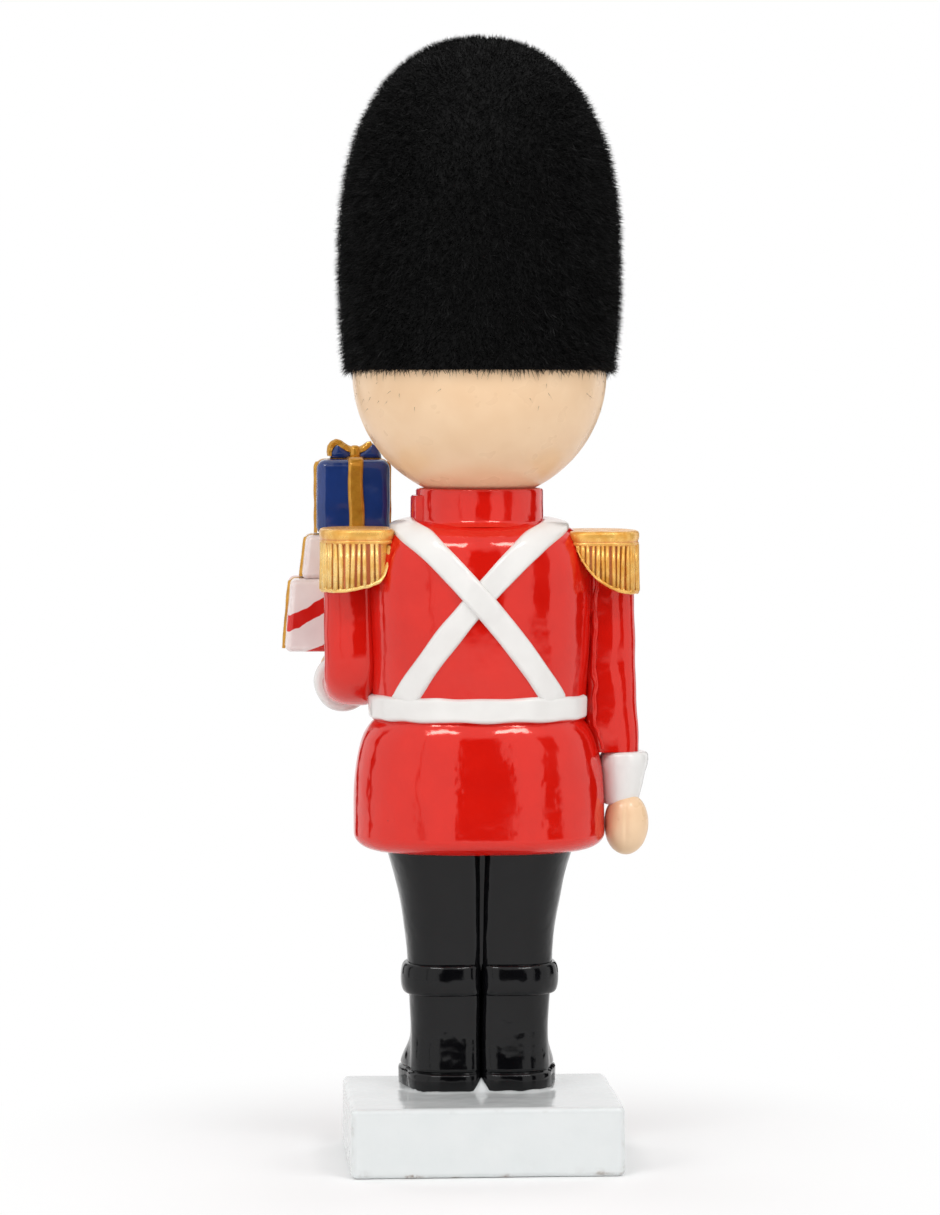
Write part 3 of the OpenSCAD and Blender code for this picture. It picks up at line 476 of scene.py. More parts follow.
skirt_rows = []
for a, b, rise in ((19, 10, 1.2), (25, 15.7, 0.4)):
    skirt_rows.append(level_ring(egg(a, a, b, b, skirt_square, n=160), hem_z + rise))
hem_levels = hem_z + hem_roll_h * (1 - np.cos(np.linspace(0.1, np.pi / 2, 18)))
for z in np.concatenate([hem_levels, np.linspace(87.5, waist_z + 0.4, 44)]):
    a, b = (skirt_half(min(z, waist_z), *ends) for ends in ((hem_w, skirt_top_w), (hem_d, skirt_top_d)))
    skirt_rows.append(level_ring(egg(a, a, b, b, skirt_square, n=160), z))
piece("tunic_skirt", skin(shaken(skirt_rows, 0.22, 24, 31)), red_enamel, "tunic_skirt")

body_rows = []
shoulder_levels = chest_z + (crown_z - 0.3 - chest_z) * np.sin(np.linspace(0.03, np.pi / 2, 46))
for z in np.concatenate([np.linspace(waist_z, chest_z, 30), shoulder_levels]):
    a, b = coat_w(z) * shoulder(z), coat_d(z) * shoulder(z)
    body_rows.append(level_ring(egg(a, a, b, b, coat_square, n=160), z))
piece("tunic_body", skin(shaken(body_rows, 0.2, 22, 32)), red_enamel, "tunic_body")


# Waist belt and crossed straps
# Raised bands on the coat, edged by hand with white gloss enamel, so their edges wander a little.
# The strap from the left shoulder lies over the other one, and both run into the belt.

def body_level(p):
    """A field that is below 1 inside the coat's body and above 1 outside it."""
    across = (np.abs(p[..., 0]) / coat_w(p[..., 2])) ** coat_square
    deep = (np.abs(p[..., 1]) / coat_d(p[..., 2])) ** coat_square
    u = np.maximum(0, (p[..., 2] - chest_z) / (crown_z - chest_z))
    return (across + deep) ** (shoulder_square / coat_square) + u ** shoulder_square


def body_normal(p):
    return unit(np.stack([body_level(p + d) - body_level(p - d) for d in np.eye(3) * 0.05], axis=-1))


def settle(p, way, lo, hi):
    """Slides points along a direction onto the coat's skin."""
    lo, hi = np.full(p.shape[:-1], float(lo)), np.full(p.shape[:-1], float(hi))
    for _ in range(20):
        mid = (lo + hi) / 2
        inside = body_level(p + way * mid[..., None]) < 1
        lo, hi = np.where(inside, mid, lo), np.where(inside, hi, mid)
    return p + way * lo[..., None]


def tape(base, out, height, sunk):
    """Rows of rings for a flat band: a rounded top over each row of base points, and a flat back."""
    s = np.linspace(-1, 1, base.shape[1])
    rise = np.asarray(height)[..., None] * (1 - np.abs(s) ** 7) ** 0.45
    return np.concatenate([base + out * rise[..., None], (base - out * sunk)[:, ::-1]], axis=1)


belt_z, belt_top, cross_z, belt_half, belt_rise = 117.4, 123.9, 149.8, 3.25, 0.9
white_enamel = enamel("white_gloss_enamel", "#e5e3e0", "#dfdcd9", 0.16, 0.25, dirt="#8a7360", specks=0.03)
round_coat = np.arange(220) * 2 * np.pi / 220
c, s = squared(round_coat, coat_square)
circle = np.column_stack([np.cos(round_coat), np.sin(round_coat), np.zeros(220)])
# under the right arm the belt is pressed narrow and thin
free = smooth((np.abs(np.angle(np.exp(1j * (round_coat - np.pi)))) - 0.22) / 0.12)
belt_columns = []
for v in np.linspace(-1, 1, 13):
    edge_line = 30 * circle + [0, 0, 7.0 * np.sign(v)]
    z = (belt_z + belt_top) / 2 + v * (belt_half + 0.22 * wobble(edge_line, 11, 41)) * (0.55 + 0.45 * free)
    belt_columns.append(np.column_stack([coat_w(z) * c, coat_d(z) * s, z]))
belt_out = unit(circle / [waist_w, waist_d, 1])
belt = tape(np.stack(belt_columns, axis=1), belt_out[:, None], 0.15 + belt_rise * free, 0.3)
piece("waist_belt", skin(belt, loop=True), white_enamel, "waist_belt")

strap_top_x, strap_up, strap_down, strap_foot = 21.8, 171.7 - cross_z, cross_z - belt_top, 19.4
strap_bow = (strap_top_x / strap_up - strap_foot / strap_down) / (strap_up + strap_down)
strap_slope = strap_top_x / strap_up - strap_bow * strap_up
strap_half, back_slew, strap_rise, strap_tucked, ride_height = 3.3, 0.07, 0.75, 0.25, 0.95


def strap_x(z):
    """How far a strap lies from the middle at a height, as it bows out to the shoulder."""
    return strap_slope * (z - cross_z) + strap_bow * (z - cross_z) ** 2 + 1.3 * smooth((z - 165) / 4)


def skin_y(x, z):
    """Half depth of the coat at a distance from its middle."""
    free = shoulder(z) ** coat_square - (np.abs(x) / coat_w(z)) ** coat_square
    return coat_d(z) * np.maximum(0, free) ** (1 / coat_square)


# The height at which a strap passes over the shoulder
ridge = np.linspace(cross_z, crown_z - 0.2, 4000)
ridge = ridge[np.argmin(np.abs(strap_x(ridge) - coat_w(ridge) * shoulder(ridge)))]


def strap_point(t, slew):
    """A strap's middle line, from the belt behind (t = -1) over the shoulder (0) to the belt in front."""
    z = belt_top + (ridge - belt_top) * np.sin(np.pi / 2 * (1 - np.abs(t)))
    x = strap_x(z) + np.where(t < 0, slew, 0) * skin_y(strap_x(z), z)
    return np.stack([x, np.where(t < 0, 1, -1) * skin_y(x, z), z], axis=-1)


for name, k, rides in (("under_strap", -1, 0.0), ("over_strap", 1, 1.0)):
    t = np.linspace(-1.05, 1.05, 181)
    slew = back_slew * k
    mid = strap_point(t, slew)
    n = body_normal(mid)
    along = unit(strap_point(t + 0.01, slew) - strap_point(t - 0.01, slew))
    aside = unit(np.cross(n, along))
    width = strap_half + 0.20 * wobble(mid, 12, 43 + k) + 0.35 * smooth((belt_top + 8 - mid[:, 2]) / 8)
    width += 0.25 * smooth((mid[:, 2] - cross_z - 3) / 13)
    base = mid[:, None] + aside[:, None] * (np.linspace(-1, 1, 15)[None] * width[:, None])[..., None]
    base = settle(base, n[:, None] + 0 * base, -5, 2)
    crossing = np.column_stack([np.where(t < 0, slew * chest_d / 2, 0), np.full(len(t), cross_z)])
    apart = np.linalg.norm(base[..., [0, 2]] - crossing[:, None], axis=2)
    base = base + n[:, None] * (ride_height * rides * smooth(1.9 - apart / 4.4))[..., None]
    tuck = smooth((mid[:, 2] - belt_top + 2.0) / 2.0)
    band = tape(base, n[:, None], strap_tucked + strap_rise * tuck, 0.35)
    piece(name, skin(band), white_enamel, name, side=k)


# Collar
# A stand-up band round the neck, cast with the coat and brushed with the same red. Its front end is
# lapped over the back at the left, which leaves a short upright step.

around = np.linspace(-180, 180, 200, endpoint=False)
lap = smooth((23 - around) / 3) * smooth((around + 80) / 50)
collar_rows = []
for t, a in zip(np.radians(around), lap):
    outline = [(14.2, 0), (18.3 + 0.6 * a, 0), (17.5 + 1.0 * a, 0.9), (16.95 + 1.4 * a, 1.7),
               (16.9 + 1.4 * a, 7.4), (16.9 + 1.1 * a, 7.9), (16.9, 8.1), (16.9, 9.2), (16.7, 9.6),
               (16.3, 9.8), (15.6, 9.9), (14.2, 9.9)]
    collar_rows.append([(r * math.cos(t), r * math.sin(t), seat_z + z) for r, z in outline])
piece("collar", skin(collar_rows, loop=True), red_enamel, "collar", sharp=35)


# Head
# A smooth ball in satin flesh enamel with a small round nose. The simple toy face is painted on:
# two dark eyes, each with a white dot as a painted highlight, rosy cheeks and a short smile.

head_r, head_z, nose_out, nose_lift = 33.7, 208.8, 3.0, -10
cheek_turn, cheek_lift, cheek_r = 34, -18, 5.2
flesh_enamel = enamel("flesh_satin_enamel", "#eccaa4", "#e6c199", 0.30, 0.1, relief=0.5, dirt="#b98a5e",
                      specks=0.006)


def painted_over(paint, where, colour):
    """Brushes a second colour over a paint, as far as a node or socket says."""
    shader = paint.node_tree.nodes["Principled BSDF"]
    plain = shader.inputs["Base Color"].links[0].from_socket
    feed(shader, {"Base Color": add(paint.node_tree, "ShaderNodeMix", {
        "Factor": where, "A": plain, "B": linear(colour)}, data_type="RGBA")})


blush = add(flesh_enamel.node_tree, "ShaderNodeAttribute", attribute_name="blush")
painted_over(flesh_enamel, blush.outputs["Fac"], "#e2836b")


def on_head(bearing, lift, out=0.0):
    """A point on the head: degrees to the figure's left of its front, degrees up, and height out."""
    b, e = np.radians(bearing), np.radians(lift)
    r = head_r + out
    return np.stack([r * np.cos(e) * np.sin(b), -r * np.cos(e) * np.cos(b), r * np.sin(e) + head_z], axis=-1)


head_rows = []
bearing = np.arange(220) * 360 / 220
from_front = np.degrees(np.angle(np.exp(1j * np.radians(bearing))))
for lift in np.linspace(-86, 28, 150):
    nose = nose_out * np.exp(-((from_front / 4.2) ** 2 + ((lift - nose_lift) / 4.0) ** 2))
    head_rows.append(on_head(bearing, lift + 0 * bearing, nose))
points, faces = skin(head_rows)
points[-2] = [0, 0, head_z - head_r]
points[-1, :2] = 0
cheeks = [points - on_head(k * cheek_turn, cheek_lift) for k in (-1, 1)]
cheek = np.min(np.linalg.norm(cheeks, axis=2), axis=0)
piece("head", (points, faces), flesh_enamel, "head",
      marks={"blush": 0.75 * np.exp(-(cheek / cheek_r) ** 2)})


def dab(name, bearing, lift, wide, tall, height, finish):
    """A dab of thick paint on the head: a low lens, in millimetres, that follows the ball."""
    t = np.arange(40) * 2 * np.pi / 40
    lens = ((0.97, -0.3), (1.0, 0.02), (0.9, height * 0.5), (0.7, height * 0.85), (0.4, height),
            (0.05, height))
    rows = [on_head(bearing + np.degrees(f * wide * np.cos(t) / head_r),
                    lift + np.degrees(f * tall * np.sin(t) / head_r), out) for f, out in lens]
    piece(name, skin(rows), finish)


for side, k in (("left", 1), ("right", -1)):
    dab(f"{side}_eye", 15 * k, -5.5, 1.9, 2.5, 0.35, black_enamel)
    # a white dot on each eye, a painted highlight
    dab(f"{side}_eye_glint", 15 * k - 1.0, -3.9, 0.5, 0.6, 0.5, white_enamel)

# The smile is one brush stroke along these bearings and lifts, thinning out at its ends
smile = np.array([(-9, -23), (-5, -25.1), (0, -25.9), (5, -25.1), (9, -23)])
smile_half, smile_rise = 0.55, 0.18
fine = np.linspace(0, 1, 31)
mid = on_head(*(np.interp(fine, np.linspace(0, 1, len(smile)), column) for column in smile.T))
out = (mid - [0, 0, head_z]) / head_r
aside = unit(np.cross(out, np.gradient(mid, axis=0)))
width = smile_half * (0.25 + 0.75 * np.abs(np.sin(np.pi * fine)) ** 0.6)
base = mid[:, None] + aside[:, None] * (np.linspace(-1, 1, 9)[None] * width[:, None])[..., None]
piece("smile", skin(tape(base, out[:, None], np.full(31, smile_rise), 0.3)), red_enamel)


# Hat
# The hat is a turned former under a cover of short black acrylic fur. The pile stands about 3 mm
# off the backing, lies a little downwards, and is trimmed ragged at the lower edge.

brim_z, belly_z, hat_top_z, hat_r, brim_r, hat_square, pile = 209.0, 238.2, 299.5, 38.7, 37.05, 2.3, 2.9
sectors, sector_steps = 6, 24

black_fur, tree = new_material("black_acrylic_fur")
# a near-black pile in which a few fibres, picked at random, are coloured a lighter grey as painted glints;
# these fibres are also glossier
glint_fibre = add(tree, "ShaderNodeAttribute", attribute_name="glint_fibre")
glint_fibre = add(tree, "ShaderNodeMath", {0: glint_fibre.outputs["Fac"], 1: 7.0}, operation="POWER")
tone = add(tree, "ShaderNodeMix", {
    "Factor": glint_fibre, "A": linear("#010101"), "B": linear("#2e2e2e")}, data_type="RGBA")
rough = add(tree, "ShaderNodeMapRange", {"Value": glint_fibre, "To Min": 0.62, "To Max": 0.32})
feed(tree.nodes["Principled BSDF"], {"Base Color": tone, "Roughness": rough, "Specular IOR Level": 0.18})


def hat_radius(z):
    """Radius of the backing at a height, a pile's length inside the fur's outline."""
    low = hat_r - pile - (hat_r - brim_r) * ((belly_z - z) / (belly_z - brim_z)) ** 2
    f = np.clip((z - belly_z) / (hat_top_z - pile - belly_z), 0, 1)
    return np.where(z < belly_z, low, (hat_r - pile) * (1 - f ** hat_square) ** (1 / hat_square))


def turned(outline, n=96):
    """Round rings from an outline of radii and heights."""
    return [level_ring(egg(r, r, r, r, 2, n=n), z) for r, z in outline]


# Outline of the backing, from inside the lower edge up to the crown
crown_levels = belly_z + (hat_top_z - pile - belly_z) * np.sin(np.linspace(0, np.pi / 2, 44)[:-1])
heights = np.concatenate([np.linspace(brim_z + 1.2, belly_z, 18)[:-1], crown_levels])
outline = [(33.75, brim_z + 1.6), (33.9, brim_z + 0.9), (34.3, brim_z + 0.7)]
outline += [(float(hat_radius(z)), float(z)) for z in heights] + [(0.6, hat_top_z - pile)]
backing = np.array(turned(outline, sectors * sector_steps))
piece("hat_backing", skin(backing), black_fur, "hat_fur")


def new_tree(name, **sockets):
    """A geometry node tree with named inputs, and its input node."""
    tree = bpy.data.node_groups.new(name, "GeometryNodeTree")
    for kind, names in sockets.items():
        for socket in names:
            tree.interface.new_socket(socket, in_out="INPUT", socket_type=f"NodeSocket{kind}")
    tree.interface.new_socket("Geometry", in_out="OUTPUT", socket_type="NodeSocketGeometry")
    return tree, add(tree, "NodeGroupInput")


fur, given = new_tree(
    "fur_pile", Geometry=["Geometry"], Int=["Seed"], Material=["Finish"],
    Float=["Fibres per m2", "Pile", "Fibre radius", "Downward lay", "Spread"])
roots = add(fur, "GeometryNodeDistributePointsOnFaces", {
    "Mesh": given, "Density": given.outputs["Fibres per m2"], "Seed": given.outputs["Seed"]})
# one fibre: a three-sided spike 1 unit long, bent over towards its tip
spike = add(fur, "GeometryNodeMeshCone", {
    "Vertices": 3, "Side Segments": 2, "Radius Top": 0.0, "Radius Bottom": 1.0, "Depth": 1.0})
spot = add(fur, "ShaderNodeSeparateXYZ", {0: add(fur, "GeometryNodeInputPosition")})
bow = add(fur, "ShaderNodeMath", {0: spot.outputs["Z"], 1: 2.0}, operation="POWER")
bow = add(fur, "ShaderNodeMath", {0: bow, 1: 3.2}, operation="MULTIPLY")
bow = add(fur, "ShaderNodeCombineXYZ", {"X": bow})
spike = add(fur, "GeometryNodeSetPosition", {"Geometry": spike, "Offset": bow})
# it leans from the backing's normal downwards and a little at random
stray = add(fur, "FunctionNodeRandomValue", {
    0: (-1, -1, -1), 1: (1, 1, 1), "Seed": 11}, data_type="FLOAT_VECTOR")
stray = add(fur, "ShaderNodeVectorMath", {0: stray, "Scale": given.outputs["Spread"]}, operation="SCALE")
# the pile parts into soft tufts about 7 mm across
tuft = add(fur, "ShaderNodeTexNoise", {"Scale": 1 / 0.007, "Detail": 1.0})
tuft = add(fur, "ShaderNodeVectorMath", {0: tuft.outputs["Color"], 1: (0.5, 0.5, 0.5)}, operation="SUBTRACT")
laid = add(fur, "ShaderNodeVectorMath", {
    0: (0, 0, -1), "Scale": given.outputs["Downward lay"]}, operation="SCALE")
way = roots.outputs["Normal"]
for lean in (stray, tuft, laid):
    way = add(fur, "ShaderNodeVectorMath", {0: way, 1: lean}, operation="ADD")
stand = add(fur, "FunctionNodeAlignRotationToVector", {"Vector": way}, axis="Z")
spin = add(fur, "FunctionNodeRandomValue", {"Min": 0.0, "Max": 6.283, "Seed": 12}, data_type="FLOAT")
spin = add(fur, "FunctionNodeAxisAngleToRotation", {"Axis": (0, 0, 1), "Angle": spin})
stand = add(fur, "FunctionNodeRotateRotation", {
    "Rotation": stand, "Rotate By": spin}, rotation_space="LOCAL")
long = add(fur, "FunctionNodeRandomValue", {"Min": 0.7, "Max": 1.15, "Seed": 13}, data_type="FLOAT")
long = add(fur, "ShaderNodeMath", {0: long, 1: given.outputs["Pile"]}, operation="MULTIPLY")
# and it is worn shorter over the crown
crown = add(fur, "ShaderNodeSeparateXYZ", {0: roots.outputs["Normal"]})
crown = add(fur, "ShaderNodeMapRange", {
    "Value": crown.outputs["Z"], "From Min": 0.3, "From Max": 0.95, "To Min": 1.0, "To Max": 0.6})
long = add(fur, "ShaderNodeMath", {0: long, 1: crown}, operation="MULTIPLY")
size = add(fur, "ShaderNodeCombineXYZ", {
    "X": given.outputs["Fibre radius"], "Y": given.outputs["Fibre radius"], "Z": long})
pile_out = add(fur, "GeometryNodeInstanceOnPoints", {
    "Points": roots, "Instance": spike, "Rotation": stand, "Scale": size})
# each fibre's random share of the painted glints, stored for the fur's finish
glint_share = add(fur, "FunctionNodeRandomValue", {"Min": 0.0, "Max": 1.0, "Seed": 14}, data_type="FLOAT")
pile_out = add(fur, "GeometryNodeStoreNamedAttribute", {
    "Geometry": pile_out, "Name": "glint_fibre", "Value": glint_share}, data_type="FLOAT", domain="INSTANCE")
pile_out = add(fur, "GeometryNodeRealizeInstances", {"Geometry": pile_out})
pile_out = add(fur, "GeometryNodeSetMaterial", {"Geometry": pile_out, "Material": given.outputs["Finish"]})
add(fur, "NodeGroupOutput", {"Geometry": pile_out})


def grown(name, form, tree, values, stands_for=None, place=(0, axis_y, 0), side=1, marks=None):
    """A piece that a node tree grows from points and faces, kept as a plain mesh and fixed."""
    made = bpy.data.objects.new(name, plain_mesh(name, form, place, side, marks))
    scene.collection.objects.link(made)
    nodes = made.modifiers.new("grow", "NODES")
    nodes.node_group = tree
    for socket in tree.interface.items_tree:
        if socket.in_out == "INPUT" and socket.name in values:
            nodes[socket.identifier] = values[socket.name]
    bpy.context.view_layer.update()
    mesh = bpy.data.meshes.new_from_object(made.evaluated_get(bpy.context.evaluated_depsgraph_get()))
    made.modifiers.clear()
    made.data = mesh
    fixed(made, stands_for)


def sheet(rows):
    """Points and faces of an open sheet over rows of points."""
    m, n = rows.shape[:2]
    corners = [i * n + j for i in range(m - 1) for j in range(n - 1)]
    return rows.reshape(-1, 3), [(p, p + 1, p + n + 1, p + n) for p in corners]


def refinish(name, finish):
    """Gives a node kept from the CAD model its finish."""
    kept = bpy.data.objects[name]
    kept.data.materials.clear()
    kept.data.materials.append(finish)


for k in range(sectors):
    columns = np.arange(k * sector_steps, (k + 1) * sector_steps + 1) % (sectors * sector_steps)
    grown(f"hat_pile_{k + 1}", sheet(backing[:, columns]), fur, {
        "Fibres per m2": 3.9e6, "Pile": 0.0031, "Fibre radius": 0.0001, "Downward lay": 0.55, "Spread": 0.6,
        "Seed": 7 + k, "Finish": black_fur}, "hat_fur")

# a few fibres shed by the trimmed edge cling to the back of the head below it
nape = np.array([on_head(np.linspace(90, 270, 31), lift + np.zeros(31), 0.02) for lift in (-16, -9, -3)])
grown("shed_fibres", sheet(nape), fur, {
    "Fibres per m2": 2.4e4, "Pile": 0.0021, "Fibre radius": 0.00005, "Downward lay": 3.0, "Spread": 2.4,
    "Seed": 5, "Finish": black_fur})
refinish("hat_former", enamel("turned_grey_former", "#4a4742", "#413e3a", 0.5, 0.0, relief=0.6))


# Sleeves
# Two cast arms, pegged and glued to the body, in the coat's red. The right one hangs straight, and
# the left one bends at the elbow to carry the gifts.

shoulder_x, arm_top, wrist_x, cuff_top, elbow_z, elbow_r, cuff_y = 35.7, 163.5, 38.7, 108.2, 125.7, 11.0, 14.0
arm_out, arm_deep, forearm_deep, crest_in, let_in, arm_round, arm_flat = 5.55, 6.5, 5.7, 2.6, 1.6, 2.2, 5


def beside(z):
    """Half width of the coat beside an arm."""
    if z < waist_z:
        return max(float(skirt_half(z, hem_w, skirt_top_w)), 29.55)
    return float(coat_w(z) * shoulder(z) + 1.05 * smooth((belt_top + 6 - z) / 4))


def arm_ring(x, y, z, angle, out, deep):
    """A section through an arm that is turned forward by an angle: round outside, let into the coat."""
    crest = x - crest_in
    p = egg(out + crest_in, crest - beside(z) + let_in, deep, deep, arm_round, arm_flat)
    return np.column_stack([crest + p[:, 0], y - p[:, 1] * math.cos(angle), z + p[:, 1] * math.sin(angle)])


right_rows = [arm_ring(shoulder_x + 1.4 * f * f, 0, arm_top + (cuff_top - arm_top) * f, 0,
                       arm_out - 0.1 * f * f, arm_deep - f * f) for f in np.linspace(0, 1, 50)]
left_rows = [arm_ring(shoulder_x, 0, z, 0, arm_out, arm_deep)
             for z in np.linspace(arm_top, elbow_z + elbow_r, 30)]
elbow = np.pi / 2 * smooth(np.linspace(0, 1, 33))
ahead, down = (np.concatenate([[0], np.cumsum((w[1:] + w[:-1]) / 2)]) for w in (np.sin(elbow), np.cos(elbow)))
elbow_ys, elbow_zs = -elbow_r * ahead / ahead[-1], elbow_z + elbow_r * (1 - down / down[-1])
for t, y, z in list(zip(elbow, elbow_ys, elbow_zs))[1:]:
    deep = arm_deep - (arm_deep - forearm_deep) * t / (np.pi / 2)
    left_rows.append(arm_ring(shoulder_x, y, z, t, arm_out, deep))
for y in np.linspace(-elbow_r, -cuff_y, 8)[1:]:
    deep = forearm_deep - 0.6 * (-y - elbow_r) / (cuff_y - elbow_r)
    left_rows.append(arm_ring(shoulder_x, y, elbow_z, np.pi / 2, arm_out, deep))
for name, rows, k in (("left_sleeve", left_rows, 1), ("right_sleeve", right_rows, -1)):
    piece(name, skin(shaken(rows, 0.24, 13, 51 + k)), red_enamel, name, side=k)

# glue and paint squeezed out where the right arm meets the coat have set in an uneven bead
seam = np.array([[beside(z) + 0.5, 6.2, z] for z in np.linspace(158, 109.3, 90)])
seam += np.column_stack([0.45 * wobble(seam, 5, 55), 0.15 * wobble(seam, 4, 56), np.zeros(90)])
thick = (0.72 + 0.22 * wobble(seam, 3.5, 57)) * np.sin(np.linspace(0.15, np.pi - 0.15, 90)) ** 0.3
bead = [p + level_ring(egg(r, r, r, r, 2, n=12), 0) for p, r in zip(seam, thick)]
piece("right_arm_seam", skin(bead), red_enamel, side=-1)


# Epaulettes
# Each is a cast cap with a plain rim and a fringe of cords that is cut to a round below. They are
# brushed gold over a red-brown wash, which stays in the grooves between the cords.

rim_top, drum_x, drum_out, drum_in, drum_deep, drum_h, arc_x = 166.9, 33.45, 8.8, 10.4, 14.0, 16.6, 40.95
drum_round, drum_flat, corner_least, corner_h = 2.3, 5, 5.2, 16
gold_paint, tree = new_material("gold_bronze_paint")
place = add(tree, "ShaderNodeTexCoord").outputs["Object"]
# bronze powder in varnish: satin metal, thin in places over about 3 mm, with a fine grain
thin = add(tree, "ShaderNodeTexNoise", {"Vector": place, "Scale": 1 / 0.003, "Detail": 4.0, "Roughness": 0.6})
thin = add(tree, "ShaderNodeMapRange", {"Value": thin, "From Min": 0.38, "From Max": 0.68})
tone = add(tree, "ShaderNodeMix", {
    "Factor": thin, "A": linear("#f2bf66"), "B": linear("#dc9c3a")}, name="gold", data_type="RGBA")
mark = add(tree, "ShaderNodeAttribute", attribute_name="grime")
metal = add(tree, "ShaderNodeMapRange", {"Value": mark.outputs["Fac"], "To Min": 0.35, "To Max": 0.05})
rough = add(tree, "ShaderNodeMapRange", {"Value": thin, "To Min": 0.24, "To Max": 0.42}, name="roughness")
grain = add(tree, "ShaderNodeTexNoise", {"Vector": place, "Scale": 1 / 0.0008, "Detail": 3.0})
grain = add(tree, "ShaderNodeBump", {"Height": grain, "Strength": 0.35, "Distance": 0.0001})
feed(tree.nodes["Principled BSDF"], {
    "Base Color": tone, "Metallic": metal, "Roughness": rough, "Normal": grain})
painted_over(gold_paint, mark.outputs["Fac"], "#c4633a")

# the left fringe is given a paler copy of the gold as a painted highlight, and the gifts' ribbons have a
# deeper, wetter one
lit_gold, deep_gold = gold_paint.copy(), gold_paint.copy()
for finish, name, colour, deep in (
        (lit_gold, "lit_gold_paint", "#f8d488", "#e6b459"),
        (deep_gold, "deep_gold_paint", "#d59d38", "#b67c20")):
    finish.name = name
    feed(finish.node_tree.nodes["gold"], {"A": linear(colour), "B": linear(deep)})
feed(deep_gold.node_tree.nodes["roughness"], {"To Min": 0.12, "To Max": 0.26})

cords, given = new_tree("fringe_cords", Geometry=["Geometry"], Float=["Cord radius"], Material=["Finish"])
drop = add(cords, "GeometryNodeInputNamedAttribute", {"Name": "drop"}, data_type="FLOAT")
uneven = add(cords, "FunctionNodeRandomValue", {"Min": 0.72, "Max": 1.16, "Seed": 3}, data_type="FLOAT")
thick = add(cords, "ShaderNodeMath", {0: given.outputs["Cord radius"], 1: uneven}, operation="MULTIPLY")
# one cord: a round rod 1 unit long that hangs from its point, with a round end
rod = add(cords, "GeometryNodeMeshCylinder", {
    "Vertices": 12, "Side Segments": 1, "Radius": 1.0, "Depth": 1.0})
rod = add(cords, "GeometryNodeTransform", {"Geometry": rod, "Translation": (0, 0, -0.5)})
knob = add(cords, "GeometryNodeMeshUVSphere", {"Segments": 12, "Rings": 6, "Radius": 1.0})
wander = add(cords, "FunctionNodeRandomValue", {
    0: (-0.03, -0.03, 0), 1: (0.03, 0.03, 0), "Seed": 4}, data_type="FLOAT_VECTOR")
rod_size = add(cords, "ShaderNodeCombineXYZ", {"X": thick, "Y": thick, "Z": drop})
rods = add(cords, "GeometryNodeInstanceOnPoints", {
    "Points": given.outputs["Geometry"], "Instance": rod, "Rotation": wander, "Scale": rod_size})
fall = add(cords, "ShaderNodeMath", {0: drop, 1: -1.0}, operation="MULTIPLY")
fall = add(cords, "ShaderNodeCombineXYZ", {"Z": fall})
low_ends = add(cords, "GeometryNodeSetPosition", {"Geometry": given.outputs["Geometry"], "Offset": fall})
knob_size = add(cords, "ShaderNodeCombineXYZ", {"X": thick, "Y": thick, "Z": thick})
knobs = add(cords, "GeometryNodeInstanceOnPoints", {
    "Points": low_ends, "Instance": knob, "Scale": knob_size})
fringe = add(cords, "GeometryNodeJoinGeometry")
for part in (rods, knobs):
    feed(fringe, {0: part})
fringe = add(cords, "GeometryNodeRealizeInstances", {"Geometry": fringe})
fringe = add(cords, "GeometryNodeSetShadeSmooth", {"Geometry": fringe})
fringe = add(cords, "GeometryNodeSetMaterial", {"Geometry": fringe, "Material": given.outputs["Finish"]})
add(cords, "NodeGroupOutput", {"Geometry": fringe})


def drum(offset, n=240):
    """The epaulette's outline from above: round at the arm's end, square where it lies on the shoulder."""
    out, inward, deep = drum_out + offset, drum_in + offset, drum_deep + offset
    return egg(out, inward, deep, deep, drum_round, drum_flat, n) + [drum_x, 0]


def cut_below(x, stretch, start, corner):
    """Height of the fringe's lower edge: an arc drawn out sideways, with its inner corner cut round."""
    arc = np.sqrt(np.maximum(drum_h ** 2 - ((x - arc_x) / stretch) ** 2, 12.0))
    inner = np.clip((x - start) / corner, 0, 1)
    side = corner_least + corner_h * np.sqrt(1 - (1 - inner) ** 2)
    return rim_top - (arc ** -12 + side ** -12) ** (-1 / 12)


# Offset from the outline, height from the rim's top and wash in the grooves, up the cap and over it
cap_profile = (
    (-0.8, -4.6, 0.9), (-0.65, -4.0, 0.9), (-0.10, -3.75, 0.6), (0.10, -3.45, 0.05), (0.12, -3.1, 0.05),
    (-0.12, -2.8, 0.55), (0.02, -2.5, 0.1), (0.22, -1.6, 0.0), (0.18, -0.7, 0.0), (-0.02, -0.25, 0.0),
    (-0.45, 0.0, 0.05), (-1.6, 0.1, 0.1), (-4.0, 0.2, 0.1), (-7.0, 0.25, 0.1))
